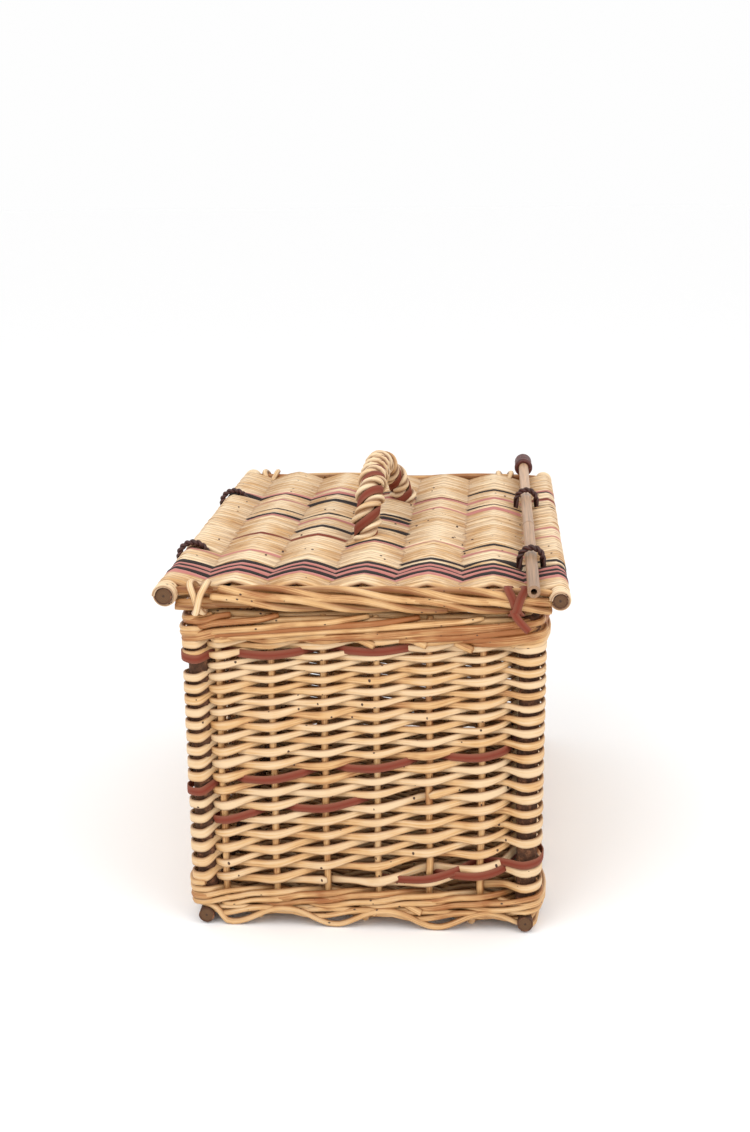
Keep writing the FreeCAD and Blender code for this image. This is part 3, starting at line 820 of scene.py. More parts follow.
class HAMPER_OT_uprights(bpy.types.Operator):
    """Stand the stakes and the four bark posts"""

    bl_idname = "hamper.uprights"
    bl_label = "Stakes and Posts"
    bl_options = {"REGISTER", "UNDO"}

    def execute(self, context):
        ring = uprights()
        chance = random.Random(7)
        for wall in STAKES:
            strands = Strands(sides=12, squareness=2.0)
            low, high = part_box(f"stakes_{wall}")
            stakes = [upright for upright in ring if upright["wall"] == wall and not upright["corner"]]
            for upright in stakes:
                tone = chance.uniform(0.3, 0.52)
                line = self.stand(upright, low.z, high.z, chance, 0.35 * MM, tone)
                strands.add(line, shift=chance.uniform(0, 5))
            piece = strands.make(f"stake_rods_{wall}", "peeled_willow")
            settle(piece, "basket", "peeled_willow", f"stakes_{wall}")
        corners = [upright for upright in ring if upright["corner"]]
        for upright, plan in zip(corners, WALLS):
            post = plan[-1]
            strands = Strands(sides=20, squareness=2.0)
            low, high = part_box(post)
            strands.add(self.stand(upright, low.z, high.z, chance, 0.3 * MM, 0.5))
            piece = strands.make(f"bark_{post}", "willow_bark")
            settle(piece, "basket", "bark_willow", post)
        return {"FINISHED"}

    def stand(self, upright, low, high, chance, stray, tone):
        """The line of an upright that isn't quite straight."""
        rows = []
        dia = 2 * upright["radius"]
        for height in np.linspace(low, high, 12):
            place = upright["place"] + np.array([chance.gauss(0, stray), chance.gauss(0, stray)])
            size = dia * chance.uniform(0.97, 1.05)
            rows.append(row((*place, height), (*upright["ways"][0], 0.0), size, size, tone))
        return smooth_line(rows, 3)


def wale_rows(ring, rods, phase, low, high, laps, chance, outset):
    """Rows of one of three wale rods: outside two uprights, inside the third, climbing."""
    rows = []
    count = int(len(ring) * laps)
    dia = rods.wale_rod
    tone = chance.uniform(0.22, 0.56)
    for step in range(count + 1):
        if step % 9 == 0:
            tone = chance.uniform(0.2, 0.58)
        place_in = (step + phase) % 3
        upright = ring[step % len(ring)]
        height = low + (high - low) * step / count
        size = dia * chance.uniform(0.88, 1.1)
        if place_in == 2:
            points = passing_points(upright, -1, dia / 2)
        else:
            points = passing_points(upright, 1, dia / 2 + outset + (0.8 * MM if place_in else 0.0))
        height += {0: -0.45, 1: 0.55, 2: 0.1}[place_in] * dia
        for number, (place, way) in enumerate(points):
            lift = (number - (len(points) - 1) / 2) * 0.25 * dia
            rows.append(row((*place, height + lift), (*way, 0.0), size, size * 0.9, tone))
        spot, way = midway(ring, step)
        after = (step + 1 + phase) % 3
        ahead = ring[(step + 1) % len(ring)]
        bulge = rods.wale_rod * 0.5 + 2.6 * MM if place_in == 0 and after == 1 else 0.0
        bulge = 0.6 * MM if place_in == 1 else bulge
        climb = {0: 0.05, 1: 0.42, 2: -0.25}[place_in] * dia
        level = low + (high - low) * (step + 0.5) / count + climb
        near_corner = upright["corner"] or ahead["corner"]
        if not near_corner:
            rows.append(row((*(spot + way * bulge), level), (*way, 0.0), size, size * 0.9, tone))
    return rows


class HAMPER_OT_wales(bpy.types.Operator):
    """Wale the foot and the top of the walls with three round rods"""

    bl_idname = "hamper.wales"
    bl_label = "Wales"
    bl_options = {"REGISTER", "UNDO"}

    def execute(self, context):
        rods = context.scene.hamper_rods
        ring = uprights()
        half = rods.wale_rod * 0.9
        # node, laps of each rod, how far it stands out, seed
        wales = (("bottom_wale", 2.0, 1.2 * MM, 21), ("top_wale", 1.35, 0.8 * MM, 22))
        for node, laps, outset, seed in wales:
            low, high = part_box(node)
            chance = random.Random(seed)
            strands = Strands(sides=8, squareness=2.1)
            for phase in range(3):
                rows = wale_rows(ring, rods, phase, low.z + half, high.z - half, laps, chance, outset)
                strands.add(smooth_line(rows, 4), shift=chance.uniform(0, 5), blunt=0.7)
            settle(strands.make(f"{node}_rods", "peeled_willow"), "basket", "peeled_willow", node)
        return {"FINISHED"}


def wall_line(ring, position, reach):
    """Place and outward way at a position round the ring, counted in uprights, reach off it."""
    index = math.floor(position)
    share = position - index
    here = ring[index % len(ring)]
    after = ring[(index + 1) % len(ring)]
    if here["corner"] and share < 0.5:
        turn = 0.5 + share
        way = here["ways"][0] * max(0.0, 1 - turn) + here["ways"][1] * turn
        way = way / np.linalg.norm(way)
    elif after["corner"] and share > 0.85:
        turn = (share - 0.85) / 0.15 * 0.5
        way = after["ways"][0] * (1 - turn) + after["ways"][1] * turn
        way = way / np.linalg.norm(way)
    else:
        way = here["ways"][-1]
    spot = here["place"] * (1 - share) + after["place"] * share
    return spot + way * reach, way


class HAMPER_OT_rim_border(bpy.types.Operator):
    """Turn the stakes down into the rim border, each rod over the next four"""

    bl_idname = "hamper.rim_border"
    bl_label = "Rim Border"
    bl_options = {"REGISTER", "UNDO"}

    def execute(self, context):
        rods = context.scene.hamper_rods
        ring = uprights()
        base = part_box("top_wale")[0].z + BUTT_START
        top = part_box("rim_border")[1].z - rods.rim_rod * 0.55
        chance = random.Random(31)
        strands = Strands(sides=10, squareness=2.1)
        for number in range(len(ring)):
            tone = chance.uniform(0.04, 0.44)
            dia = rods.rim_rod * chance.uniform(0.9, 1.14)
            start = number + chance.uniform(-0.3, 0.3)
            span = chance.uniform(3.8, 5.4)
            rows = []
            for share in (0.0, 0.06, 0.16, 0.3, 0.44, 0.58, 0.72, 0.84, 0.93, 1.0):
                position = start + span * share
                height = base + (top - base) * (share ** 1.1) + chance.gauss(0, 0.3 * MM)
                flare = 6.4 * MM + 5.0 * MM * share
                inward = max(0.0, 1 - share / 0.1) * 8.0 * MM
                inward += max(0.0, share - 0.86) / 0.14 * 7.5 * MM
                place, way = wall_line(ring, position, flare - inward)
                size = dia * (1.0 - 0.18 * share)
                rows.append(row((*place, height), (*way, 0.25), size, size * 0.92, tone))
            strands.add(smooth_line(rows, 5), shift=chance.uniform(0, 5), blunt=0.85)
        settle(strands.make("rim_border_rods", "peeled_willow"), "basket", "peeled_willow", "rim_border")
        inner = Strands(sides=10, squareness=2.1)
        for turn in range(2):
            rows = []
            for position in np.arange(0, len(ring) + 0.01, 0.5):
                place, way = wall_line(ring, position, -2.5 * MM + 5.0 * MM * turn)
                height = top - rods.rim_rod * (0.1 + 0.5 * turn)
                height += 1.0 * MM * math.sin(2.1 * position + turn)
                rows.append(row((*place, height), (*way, 0.0), rods.rim_rod, rods.rim_rod, 0.5))
            inner.add(smooth_line(rows, 3), shift=turn * 1.7)
        settle(inner.make("rim_inner_rods", "peeled_willow"), "basket", "peeled_willow")
        self.butts(ring, rods, chance)
        return {"FINISHED"}

    def butts(self, ring, rods, chance):
        """Thick ends that stand out where a new rod was laid in, under the rim and at the foot."""
        strands = Strands(sides=10, squareness=2.0)
        top_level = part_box("top_wale")[0].z + BUTT_START
        foot_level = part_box("bottom_wale")[0].z + BUTT_START
        spots = [(index, top_level) for index in (3, 4, 5, 6, 11, 15, 20, 27, 31)]
        spots += [(index, foot_level) for index in (3, 4, 9, 13, 19, 22, 26, 30)]
        for index, height in spots:
            position = index + chance.uniform(0.2, 0.7)
            level = height + chance.uniform(-2.0, 3.0) * MM
            rows = []
            for share in (0.0, 0.5, 1.0):
                place, way = wall_line(ring, position + 0.32 * share, (3.0 + 6.0 * share) * MM)
                rows.append(row(
                    (*place, level - 4.0 * MM * share), (*way, 0.0),
                    rods.rim_rod, rods.rim_rod * 0.9, 0.45,
                ))
            strands.add(smooth_line(rows, 4), shift=chance.uniform(0, 5), blunt=0.92)
        settle(strands.make("rod_butts", "peeled_willow"), "basket", "peeled_willow")


class HAMPER_OT_foot_border(bpy.types.Operator):
    """Scallop the foot border from every second stake to the next"""

    bl_idname = "hamper.foot_border"
    bl_label = "Foot Border"
    bl_options = {"REGISTER", "UNDO"}

    def execute(self, context):
        rods = context.scene.hamper_rods
        ring = uprights()
        low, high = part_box("foot_border")
        chance = random.Random(41)
        strands = Strands(sides=8, squareness=2.1)
        dia = rods.foot_rod
        lowest = low.z + dia / 2 + 0.1 * MM
        # phase in stakes, how deep the scallop hangs, how far it stands out in millimetres
        layers = ((0.0, 1.0, 9.5), (0.35, 0.55, 8.0), (1.0, 0.35, 6.0), (1.6, 0.3, 3.5))
        for number, (phase, depth, reach) in enumerate(layers):
            rows = []
            top = high.z + 1.0 * MM - number * 0.4 * MM
            tone = chance.uniform(0.4, 0.6)
            for position in np.arange(0, len(ring) + 0.01, 0.25):
                swing = 0.5 - 0.5 * math.cos(math.pi * (position + phase - 0.15))
                height = top - (top - lowest) * depth * swing ** 1.2
                place, way = wall_line(ring, position, (reach - 2.0 * swing) * MM)
                size = dia * (1 + 0.06 * math.sin(1.7 * position + phase))
                tint = tone + 0.08 * math.sin(0.9 * position)
                rows.append(row((*place, height), (*way, 0.0), size, size, tint))
            strands.add(smooth_line(rows, 2), shift=chance.uniform(0, 5))
        settle(strands.make("foot_border_rods", "peeled_willow"), "basket", "peeled_willow", "foot_border")
        return {"FINISHED"}


# ---- base ------------------------------------------------------------------------------------


class HAMPER_OT_base(bpy.types.Operator):
    """Weave the flat base over its sticks"""

    bl_idname = "hamper.base"
    bl_label = "Base"
    bl_options = {"REGISTER", "UNDO"}

    def execute(self, context):
        rods = context.scene.hamper_rods
        low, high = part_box("base_weave")
        sticks = self.stick_places()
        level = middle_of("base_inner_sticks").z
        reach = (high.z - low.z) / 2 - rods.base_rod / 2
        count = math.ceil((high.y - low.y) / rods.base_rod)
        pitch = (high.y - low.y) / count
        chance = random.Random(51)
        strands = Strands(sides=6, squareness=2.1)
        for number in range(count):
            place_y = low.y + pitch * (number + 0.5)
            tone = chance.uniform(0.36, 0.7)
            rows = []
            for index, place_x in enumerate(sticks):
                sense = 1 if (number + index) % 2 == 0 else -1
                side_x = min(max(place_x, low.x), high.x)
                rows.append(row(
                    (side_x, place_y + chance.gauss(0, 0.25 * MM), level + sense * reach),
                    (0.0, 0.0, 1.0), rods.base_rod, rods.base_rod * 0.9, tone,
                ))
            strands.add(smooth_line(rows, 5), shift=chance.uniform(0, 5))
        settle(strands.make("base_weavers", "peeled_willow"), "basket", "peeled_willow", "base_weave")

        inner = Strands(sides=12, squareness=2.0)
        low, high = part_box("base_inner_sticks")
        straight_rods(inner, sticks[1:-1], low, high, level, 8.0 * MM)
        piece = inner.make("base_stick_rods", "peeled_willow")
        settle(piece, "basket", "peeled_willow", "base_inner_sticks")
        for side, seed in (("left", 61), ("right", 62)):
            make_stick(f"base_stick_{side}", "basket", seed)
        return {"FINISHED"}

    def stick_places(self):
        """X of every stick of the base, outer ones first and last."""
        left = middle_of("base_stick_left").x
        right = middle_of("base_stick_right").x
        return list(np.linspace(left, right, LID_AND_BASE_STICKS))


def deselect_all():
    """Leaves nothing selected."""
    bpy.ops.object.select_all(action="DESELECT")


def make_stick(node, body, seed):
    """A round stick along Y in its bark, sawn at both ends, a little uneven."""
    low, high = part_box(node)
    centre = (low + high) / 2
    radius = (high.z - low.z) / 2
    deselect_all()
    bpy.ops.mesh.primitive_cylinder_add(
        vertices=28, radius=radius, depth=high.y - low.y,
        location=centre, rotation=(math.radians(90), 0, 0),
    )
    stick = bpy.context.active_object
    stick.name = f"{node}_bark"
    bpy.ops.object.transform_apply(location=True, rotation=True, scale=True)
    bpy.ops.object.mode_set(mode="EDIT")
    bpy.ops.mesh.select_mode(type="EDGE")
    bpy.ops.mesh.select_all(action="DESELECT")
    bpy.ops.object.mode_set(mode="OBJECT")
    mesh = stick.data
    for edge in mesh.edges:
        a, b = (mesh.vertices[i].co for i in edge.vertices)
        edge.select = abs(a.y - b.y) > radius
    bpy.ops.object.mode_set(mode="EDIT")
    bpy.ops.mesh.subdivide(number_cuts=30)
    bpy.ops.mesh.select_all(action="SELECT")
    bpy.ops.transform.vertex_random(offset=0.03 * radius, uniform=0.0, normal=1.0, seed=seed)
    bpy.ops.mesh.select_mode(type="FACE")
    bpy.ops.mesh.select_all(action="DESELECT")
    bpy.ops.object.mode_set(mode="OBJECT")
    for face in mesh.polygons:
        face.select = abs(face.normal.y) > 0.8
    bpy.ops.object.mode_set(mode="EDIT")
    bpy.ops.mesh.inset(thickness=0.14 * radius, depth=0.0)
    bpy.ops.mesh.inset(thickness=0.04 * radius, depth=-0.4 * MM)
    bpy.ops.object.mode_set(mode="OBJECT")
    own = bpy.context.scene.hamper_finish
    mesh.materials.append(Finishes.get("willow_bark"))
    mesh.materials.append(sawn_end(f"sawn_{node}", own.end_grain[:], (centre.x, centre.z)))
    for face in mesh.polygons:
        inside = math.hypot(face.center.x - centre.x, face.center.z - centre.z) < 0.5 * radius
        face.material_index = 1 if abs(face.normal.y) > 0.8 and inside else 0
    bpy.ops.object.shade_smooth_by_angle(angle=math.radians(40))
    return settle(stick, body, "bark_willow", node)


# ---- lid -------------------------------------------------------------------------------------

LID_STRIPS = 130
INNER_STICK_RADIUS = 0.004
PART_REACH = 22.0 * MM  # along a strip, past a loop's gap
PART_PUSH = 7.0 * MM
PART_FADE = 9.0 * MM
LOOPS = ("latch_loop_front", "latch_loop_rear", "hinge_loop_front", "hinge_loop_rear")
NATURAL, PINK, BLACK, RED = range(4)
DYE_LETTERS = {"P": PINK, "B": BLACK, "R": RED}

# dyed strips of the lid: the first strip, counted from the front, a letter for each of them,
# and the sticks between which the dyed lengths run
DYED_RUNS = (
    (7, "PPBBPPBBPPBB", 0, 6),
    (21, "BB", 4, 6),
    (29, "PP", 0, 1),
    (31, "P", 5, 6),
    (37, "B", 4, 5),
    (39, "PPB", 3, 4),
    (46, "RR", 1, 2),
    (48, "P", 5, 6),
    (55, "BB", 2, 3),
    (58, "P", 5, 6),
    (65, "PPB", 2, 3),
    (69, "P", 0, 1),
    (71, "BB", 1, 3),
    (77, "B", 0, 1),
    (79, "PPP", 4, 5),
    (84, "BB", 5, 6),
    (88, "BPB", 1, 2),
    (92, "PPR", 3, 6),
    (97, "BBPP", 0, 2),
    (98, "RRBB", 3, 3),
    (104, "BBP", 5, 6),
    (106, "P", 1, 3),
)


def strip_dyes():
    """The dyed lengths of every strip of the lid, front strip first: dye, first and last stick."""
    dyes = [[] for strip in range(LID_STRIPS)]
    for first, letters, start, stop in DYED_RUNS:
        for offset, letter in enumerate(letters):
            dyes[first + offset].append((DYE_LETTERS[letter], start, stop))
    return dyes


def hidden_lengths(number, lengths, last):
    """Cuts a strip into lengths that meet under a stick: dye, first and last stick."""
    cuts = []
    reached = 0
    for dye, start, stop in sorted(lengths, key=lambda length: length[1]):
        start = start if start in (0, last) or (number + start) % 2 else start - 1
        stop = stop if stop == last or (number + stop) % 2 else stop + 1
        start = max(start, reached)
        if stop <= start:
            continue
        if start > reached:
            cuts.append((NATURAL, reached, start))
        cuts.append((dye, start, stop))
        reached = stop
    if reached < last:
        cuts.append((NATURAL, reached, last))
    return cuts


def parted(x, y, nominal, gaps):
    """Moves a strip aside where a loop comes through the lid."""
    for gap_x, gap_y, half in gaps:
        near = max(0.0, 1 - max(0.0, abs(x - gap_x) - half) / PART_REACH)
        off = nominal - gap_y
        push = PART_PUSH * math.exp(-abs(off) / PART_FADE) * near
        y += push if off >= 0 else -push
    return y


def lid_strip_rows(rods, sticks, radii, level, number, place_y, gaps, tone, chance):
    """Rows of one strip: nearly flat over a stick, leaning half way to the next, under that one.

    The second result tells which row is at each stick."""
    rows = []
    marks = []
    last = len(sticks) - 1
    width = rods.lid_strip_width * chance.uniform(0.84, 1.12)
    depth = rods.lid_strip_depth * chance.uniform(0.85, 1.2)
    gather = (2 - number % 5) * 0.45 * MM

    def at(x, height, lean, tint, shift=0.0, swell=1.0):
        y = parted(x, place_y + shift, place_y, gaps)
        angle = math.radians(lean)
        face = (0.0, -math.sin(angle), math.cos(angle))
        rows.append(row((x, y, level + height), face, width, depth * swell, tint))

    def wrap(index, sense, outward, angles):
        """Round an outer stick, from its top or its foot to its outer side."""
        reach = radii[index] + depth / 2 + 0.2 * MM
        made = []
        for angle in angles:
            rise = sense * abs(math.sin(angle))
            x = sticks[index] + outward * reach * math.cos(angle)
            z = level + reach * rise
            face = (outward * math.cos(angle), 0.0, rise)
            face = face if sense > 0 else (-face[0], 0.0, -face[2])
            y = parted(x, place_y, place_y, gaps)
            made.append(row((x, y, z), face, width, depth, tone))
        return made

    turns = (0.02, 0.7, 1.2)
    shoulder = 3.2 * MM
    for index, stick in enumerate(sticks):
        sense = 1 if (number + index) % 2 == 0 else -1
        outer = index in (0, last)
        height = sense * (radii[index] + depth / 2 + 0.2 * MM if outer else rods.lid_swing)
        height += chance.gauss(0, 0.3 * MM)
        if index == 0:
            rows.extend(wrap(0, sense, -1, turns))
        if index > 0:
            at(stick - shoulder, height * 0.93, 13, tone)
        marks.append(len(rows))
        # painted light: a strip is lighter where it crosses a stick
        at(stick, height, 10, tone + 0.05)
        if index < last:
            at(stick + shoulder, height * 0.93, 13, tone)
            middle = (stick + sticks[index + 1]) / 2
            # painted shade: half way between sticks, where the strip leans, it is darker
            at(middle, 0.0, 57, tone - 0.06, gather + chance.gauss(0, 0.25 * MM), 1.35)
        else:
            rows.extend(wrap(last, sense, 1, turns[::-1]))
    return rows, marks


def loop_gaps():
    """Where the loops come through the lid: x, y and half the length of each gap."""
    gaps = []
    for node in LOOPS:
        low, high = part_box(node)
        gaps.append(((low.x + high.x) / 2, (low.y + high.y) / 2, (high.x - low.x) / 2))
    return gaps


class HAMPER_OT_lid_weave(bpy.types.Operator):
    """Weave the lid over and under its sticks, and wrap each strip round the outer two"""

    bl_idname = "hamper.lid_weave"
    bl_label = "Weave the Lid"
    bl_options = {"REGISTER", "UNDO"}

    def execute(self, context):
        rods = context.scene.hamper_rods
        left, right = middle_of("lid_stick_left"), middle_of("lid_stick_right")
        sticks = list(np.linspace(left.x, right.x, LID_AND_BASE_STICKS))
        radii = [INNER_STICK_RADIUS] * len(sticks)
        for index, node in ((0, "lid_stick_left"), (-1, "lid_stick_right")):
            low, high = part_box(node)
            radii[index] = (high.z - low.z) / 2
        low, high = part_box("lid_weave")
        pitch = (high.y - low.y) / LID_STRIPS
        gaps = loop_gaps()
        dyes = strip_dyes()
        chance = random.Random(71)
        for part, name in enumerate(("even", "odd")):
            strands = Strands(sides=8, squareness=3.0, flank_power=2.2)
            for number in range(part, LID_STRIPS, 2):
                place_y = low.y + pitch * (number + 0.5) + chance.gauss(0, 0.2 * MM)
                tone = chance.uniform(0.34, 0.78)
                rows, marks = lid_strip_rows(
                    rods, sticks, radii, left.z, number, place_y, gaps, tone, chance,
                )
                line = smooth_line(rows, 4)
                line[:, 1] = np.clip(line[:, 1], low.y + 1.5 * MM, high.y - 1.5 * MM)
                marks = [0, *(4 * mark for mark in marks[1:-1]), len(line) - 1]
                for dye, start, stop in hidden_lengths(number, dyes[number], len(sticks) - 1):
                    length = line[marks[start]:marks[stop] + 1]
                    strands.add(length, slot=dye, shift=chance.uniform(0, 5))
            piece = strands.make(
                f"lid_strips_{name}",
                "peeled_willow_pale", "pink_skein", "black_skein", "red_skein",
            )
            settle(piece, "lid", "peeled_willow", "lid_weave")
        self.inner_sticks(sticks)
        for side, seed in (("left", 63), ("right", 64)):
            make_stick(f"lid_stick_{side}", "lid", seed)
            self.end_turns(f"lid_stick_{side}", (low.y, high.y))
        return {"FINISHED"}

    def end_turns(self, node, weave_ends):
        """Turns of rod round both ends of an outer stick, past the weave."""
        low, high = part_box(node)
        centre = (low + high) / 2
        wide = 6.4 * MM
        reach = (high.z - low.z) / 2 + 1.2 * MM
        strands = Strands(sides=8, squareness=2.3)
        for end, sense in ((weave_ends[0], -1), (weave_ends[1], 1)):
            rows = []
            chance = random.Random(int(1000 * abs(centre.x)) + sense)
            for angle in np.linspace(0.0, 5.0 * math.pi, 51):
                way = (math.cos(angle), 0.0, math.sin(angle))
                along = end + sense * (wide * 0.45 + wide * 0.82 * angle / (2 * math.pi))
                place = (centre.x + way[0] * reach, along, centre.z + way[2] * reach)
                rows.append(row(place, way, wide * chance.uniform(0.95, 1.05), 3.0 * MM, 0.6))
            strands.add(smooth_line(rows, 2), shift=sense)
        settle(strands.make(f"{node}_end_turns", "peeled_willow_pale"), "lid", "peeled_willow")

    def inner_sticks(self, sticks):
        """The sticks inside the lid."""
        low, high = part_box("lid_inner_sticks")
        strands = Strands(sides=12, squareness=2.0)
        straight_rods(strands, sticks[1:-1], low, high, (low.z + high.z) / 2, high.z - low.z)
        settle(strands.make("lid_stick_rods", "peeled_willow"), "lid", "peeled_willow", "lid_inner_sticks")


class HAMPER_OT_lid_borders(bpy.types.Operator):
    """Lay the round rods of the lid's front and rear borders"""

    bl_idname = "hamper.lid_borders"
    bl_label = "Lid Borders"
    bl_options = {"REGISTER", "UNDO"}

    def execute(self, context):
        rods = context.scene.hamper_rods
        count = 9
        lead = 0.46
        for side, sense, seed in (("front", -1, 81), ("rear", 1, 82)):
            node = f"lid_border_{side}"
            low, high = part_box(node)
            chance = random.Random(seed)
            strands = Strands(sides=10, squareness=2.0)
            centre_y = (low.y + high.y) / 2
            centre_z = (low.z + high.z) / 2
            half_y = (high.y - low.y) / 2 - rods.border_rod / 2 + 1.0 * MM
            half_z = (high.z - low.z) / 2 - rods.border_rod / 2 + 0.8 * MM
            for number in range(count):
                tone = chance.uniform(0.14, 0.5)
                start = low.x + (0.0 if number < 5 else chance.uniform(0.0, 0.12))
                end = high.x - (0.0 if number < 5 else chance.uniform(0.0, 0.14))
                rows = []
                spin = 2 * math.pi * number / count
                dia = rods.border_rod * chance.uniform(0.9, 1.15)
                for place_x in np.linspace(start, end, 22):
                    sway = 2 * math.pi * place_x / (150.0 * MM) + 2.2 * number
                    turn = spin - sense * 2 * math.pi * place_x / lead + 0.42 * math.sin(sway)
                    shrink = 0.94 + 0.12 * math.cos(sway)
                    place = (
                        place_x,
                        centre_y + half_y * shrink * math.cos(turn),
                        centre_z + half_z * shrink * math.sin(turn),
                    )
                    face = (0.0, math.cos(turn), math.sin(turn))
                    rows.append(row(place, face, dia, dia * 0.95, tone))
                strands.add(smooth_line(rows, 4), shift=chance.uniform(0, 5))
            settle(strands.make(f"{node}_rods", "peeled_willow"), "lid", "peeled_willow", node)
        return {"FINISHED"}


class HAMPER_OT_ties(bpy.types.Operator):
    """Bind the lid's borders to the weave with two turns each"""

    bl_idname = "hamper.ties"
    bl_label = "Ties"
    bl_options = {"REGISTER", "UNDO"}

    def execute(self, context):
        for end, sense in (("front", -1), ("rear", 1)):
            for side in ("left", "right"):
                self.tie(f"tie_{end}_{side}", f"lid_border_{end}", sense, (end, side) == ("front", "right"))
        return {"FINISHED"}

    def tie(self, node, border, sense, red):
        """Two crossing turns round a border, and a loose end on the red one."""
        low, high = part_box(node)
        centre = (low + high) / 2
        border_low, border_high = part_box(border)
        centre_y = (border_low.y + border_high.y) / 2
        centre_z = (border_low.z + border_high.z) / 2
        flat = 2.4 * MM if red else 4.8 * MM
        wide = 6.8 * MM if red else 5.6 * MM
        half_y = (border_high.y - border_low.y) / 2 + flat / 2
        half_z = (border_high.z - border_low.z) / 2 + flat / 2 - 0.6 * MM
        strands = Strands(sides=8, squareness=4.0 if red else 2.0)
        for turn, lean in ((0, -1), (1, 1)):
            rows = []
            for angle in np.linspace(-0.75 * math.pi, 1.25 * math.pi, 25):
                bow = abs(math.cos(angle)) ** 0.7 * math.copysign(1, math.cos(angle))
                rise = abs(math.sin(angle)) ** 0.7 * math.copysign(1, math.sin(angle))
                x = centre.x + lean * (1.6 + 5.2 * math.sin(angle)) * MM
                over = turn * flat * 0.9 * math.exp(-((math.sin(angle) + 0.3) / 0.45) ** 2)
                y = centre_y + sense * (half_y + over) * bow
                z = centre_z + (half_z + over) * rise
                face = (0.0, sense * math.cos(angle), math.sin(angle))
                rows.append(row((x, y, z), face, wide, flat, 0.45))
            strands.add(smooth_line(rows, 4), shift=turn * 0.7 + centre.x)
        if red:
            rows = []
            for x, out, down in ((-3, 1.0, 8), (0, 2.0, 14), (5, 3.2, 20), (10, 4.5, 25)):
                y = centre_y + sense * (half_y + out * MM)
                place = (centre.x + x * MM, y, centre_z + (4 - down) * MM)
                rows.append(row(place, (0.0, sense * 1.0, 0.15), wide * 0.9, flat, 0.5))
            strands.add(smooth_line(rows, 4), shift=2.0)
        finish, slot = ("red_skein", "red_strip") if red else ("peeled_willow_pale", "peeled_willow")
        settle(strands.make(f"{node}_turns", finish), "lid", slot, node)


# ---- handle ----------------------------------------------------------------------------------


HANDLE_LEAD = 44.0 * MM  # one turn of the ropes round the handle
ROPE_REACH = 7.9 * MM
PLY_REACH = 3.0 * MM
PLY_DIA = 5.5 * MM
PLY_LEAD = 34.0 * MM
BAND_REACH = 9.6 * MM


def handle_frames(steps):
    """Places, sideways and upward ways, and lengths along the handle, from its front foot on."""
    span, leg, bend = 156.0 * MM, 8.0 * MM, 43.0 * MM
    foot_depth = 9.0 * MM
    centre = middle_of("handle_rope")
    top_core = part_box("handle_core")[1].z - 5.0 * MM
    straight_z = top_core - bend
    clear = (10.0 + 8.0) / 2 * MM + 0.7 * MM + centre.x
    turn = -math.asin(clear / (span / 2))
    rows = []
    lowest = straight_z - leg - foot_depth
    for height in (lowest, (lowest + straight_z) / 2, straight_z):
        rows.append((-span / 2, height))
    for share in (1, 2, 3, 4, 5):
        angle = math.radians(18 * share)
        rows.append((-span / 2 + bend * (1 - math.cos(angle)), straight_z + bend * math.sin(angle)))
    rows.append((0.0, top_core + 0.6 * MM))
    rows += [(-along, height) for along, height in rows[-2::-1]]
    flat = [(0.0, along, height) for along, height in rows]
    line = smooth_line(np.array(flat), steps)
    spin = np.array(Matrix.Rotation(turn, 3, "Z"))
    place = line @ spin.T + np.array([centre.x, centre.y, 0.0])
    raised = np.maximum(0.0, place[:, 2] - straight_z)
    place[:, 0] += raised / raised.max() * (centre.x - 8.0 * MM - place[:, 0])
    place[:, 2] -= 0.18 * raised
    forward, travelled = lengthways(place)
    sideways = np.tile(np.array([1.0, 0.0, 0.0]) @ spin.T, (len(place), 1))
    upward = unit(np.cross(sideways, forward))
    return place, sideways, upward, travelled


class HAMPER_OT_handle(bpy.types.Operator):
    """Wind the handle with two ropes of willow and two dyed strips"""

    bl_idname = "hamper.handle"
    bl_label = "Rope Handle"
    bl_options = {"REGISTER", "UNDO"}

    def execute(self, context):
        place, sideways, upward, travelled = handle_frames(14)
        wind = -2 * math.pi * travelled / HANDLE_LEAD
        core = Strands(sides=12, squareness=2.0)
        core.add(even_line(place, upward, 10.0 * MM, 10.0 * MM, 0.2))
        settle(core.make("handle_core_rods", "peeled_willow"), "lid", "peeled_willow", "handle_core")

        ropes = Strands(sides=8, squareness=2.0)
        for start in (0.0, math.pi):
            radial = around(sideways, upward, wind + start)
            centre = place + radial * ROPE_REACH
            out, beside = squared_off(lengthways(centre)[0], radial)
            for ply in range(3):
                face = around(out, beside, 2 * math.pi * travelled / PLY_LEAD + 2 * math.pi * ply / 3)
                lay = centre + face * PLY_REACH
                tone = 0.36 + 0.08 * ply + 0.04 * start
                ropes.add(even_line(lay, face, PLY_DIA, PLY_DIA, tone), shift=ply + start)
        settle(ropes.make("handle_rope_plies", "peeled_willow_pale"), "lid", "peeled_willow", "handle_rope")

        bands = Strands(sides=8, squareness=4.0)
        for start in (0.5 * math.pi, 1.5 * math.pi):
            radial = around(sideways, upward, wind + start)
            lay = place + radial * BAND_REACH
            bands.add(even_line(lay, radial, 8.0 * MM, 2.0 * MM, 0.6), shift=start)
        settle(bands.make("handle_red_turns", "red_skein"), "lid", "red_strip", "handle_strip")
        return {"FINISHED"}


# ---- latch and loops -------------------------------------------------------------------------


def twisted_loop(name, centre_line, faces, ply, finish, lead):
    """Two plies twisted round a loop's centre line."""
    along, travelled = lengthways(centre_line)
    out, beside = squared_off(along, faces)
    turns = max(1, round(travelled[-1] / lead))
    strands = Strands(sides=8, squareness=2.0)
    for number in range(2):
        way = around(out, beside, 2 * math.pi * turns * travelled / travelled[-1] + math.pi * number)
        strands.add(even_line(centre_line + way * ply * 0.42, way, ply, ply, 0.5), shift=number * 1.3)
    return strands.make(name, finish)


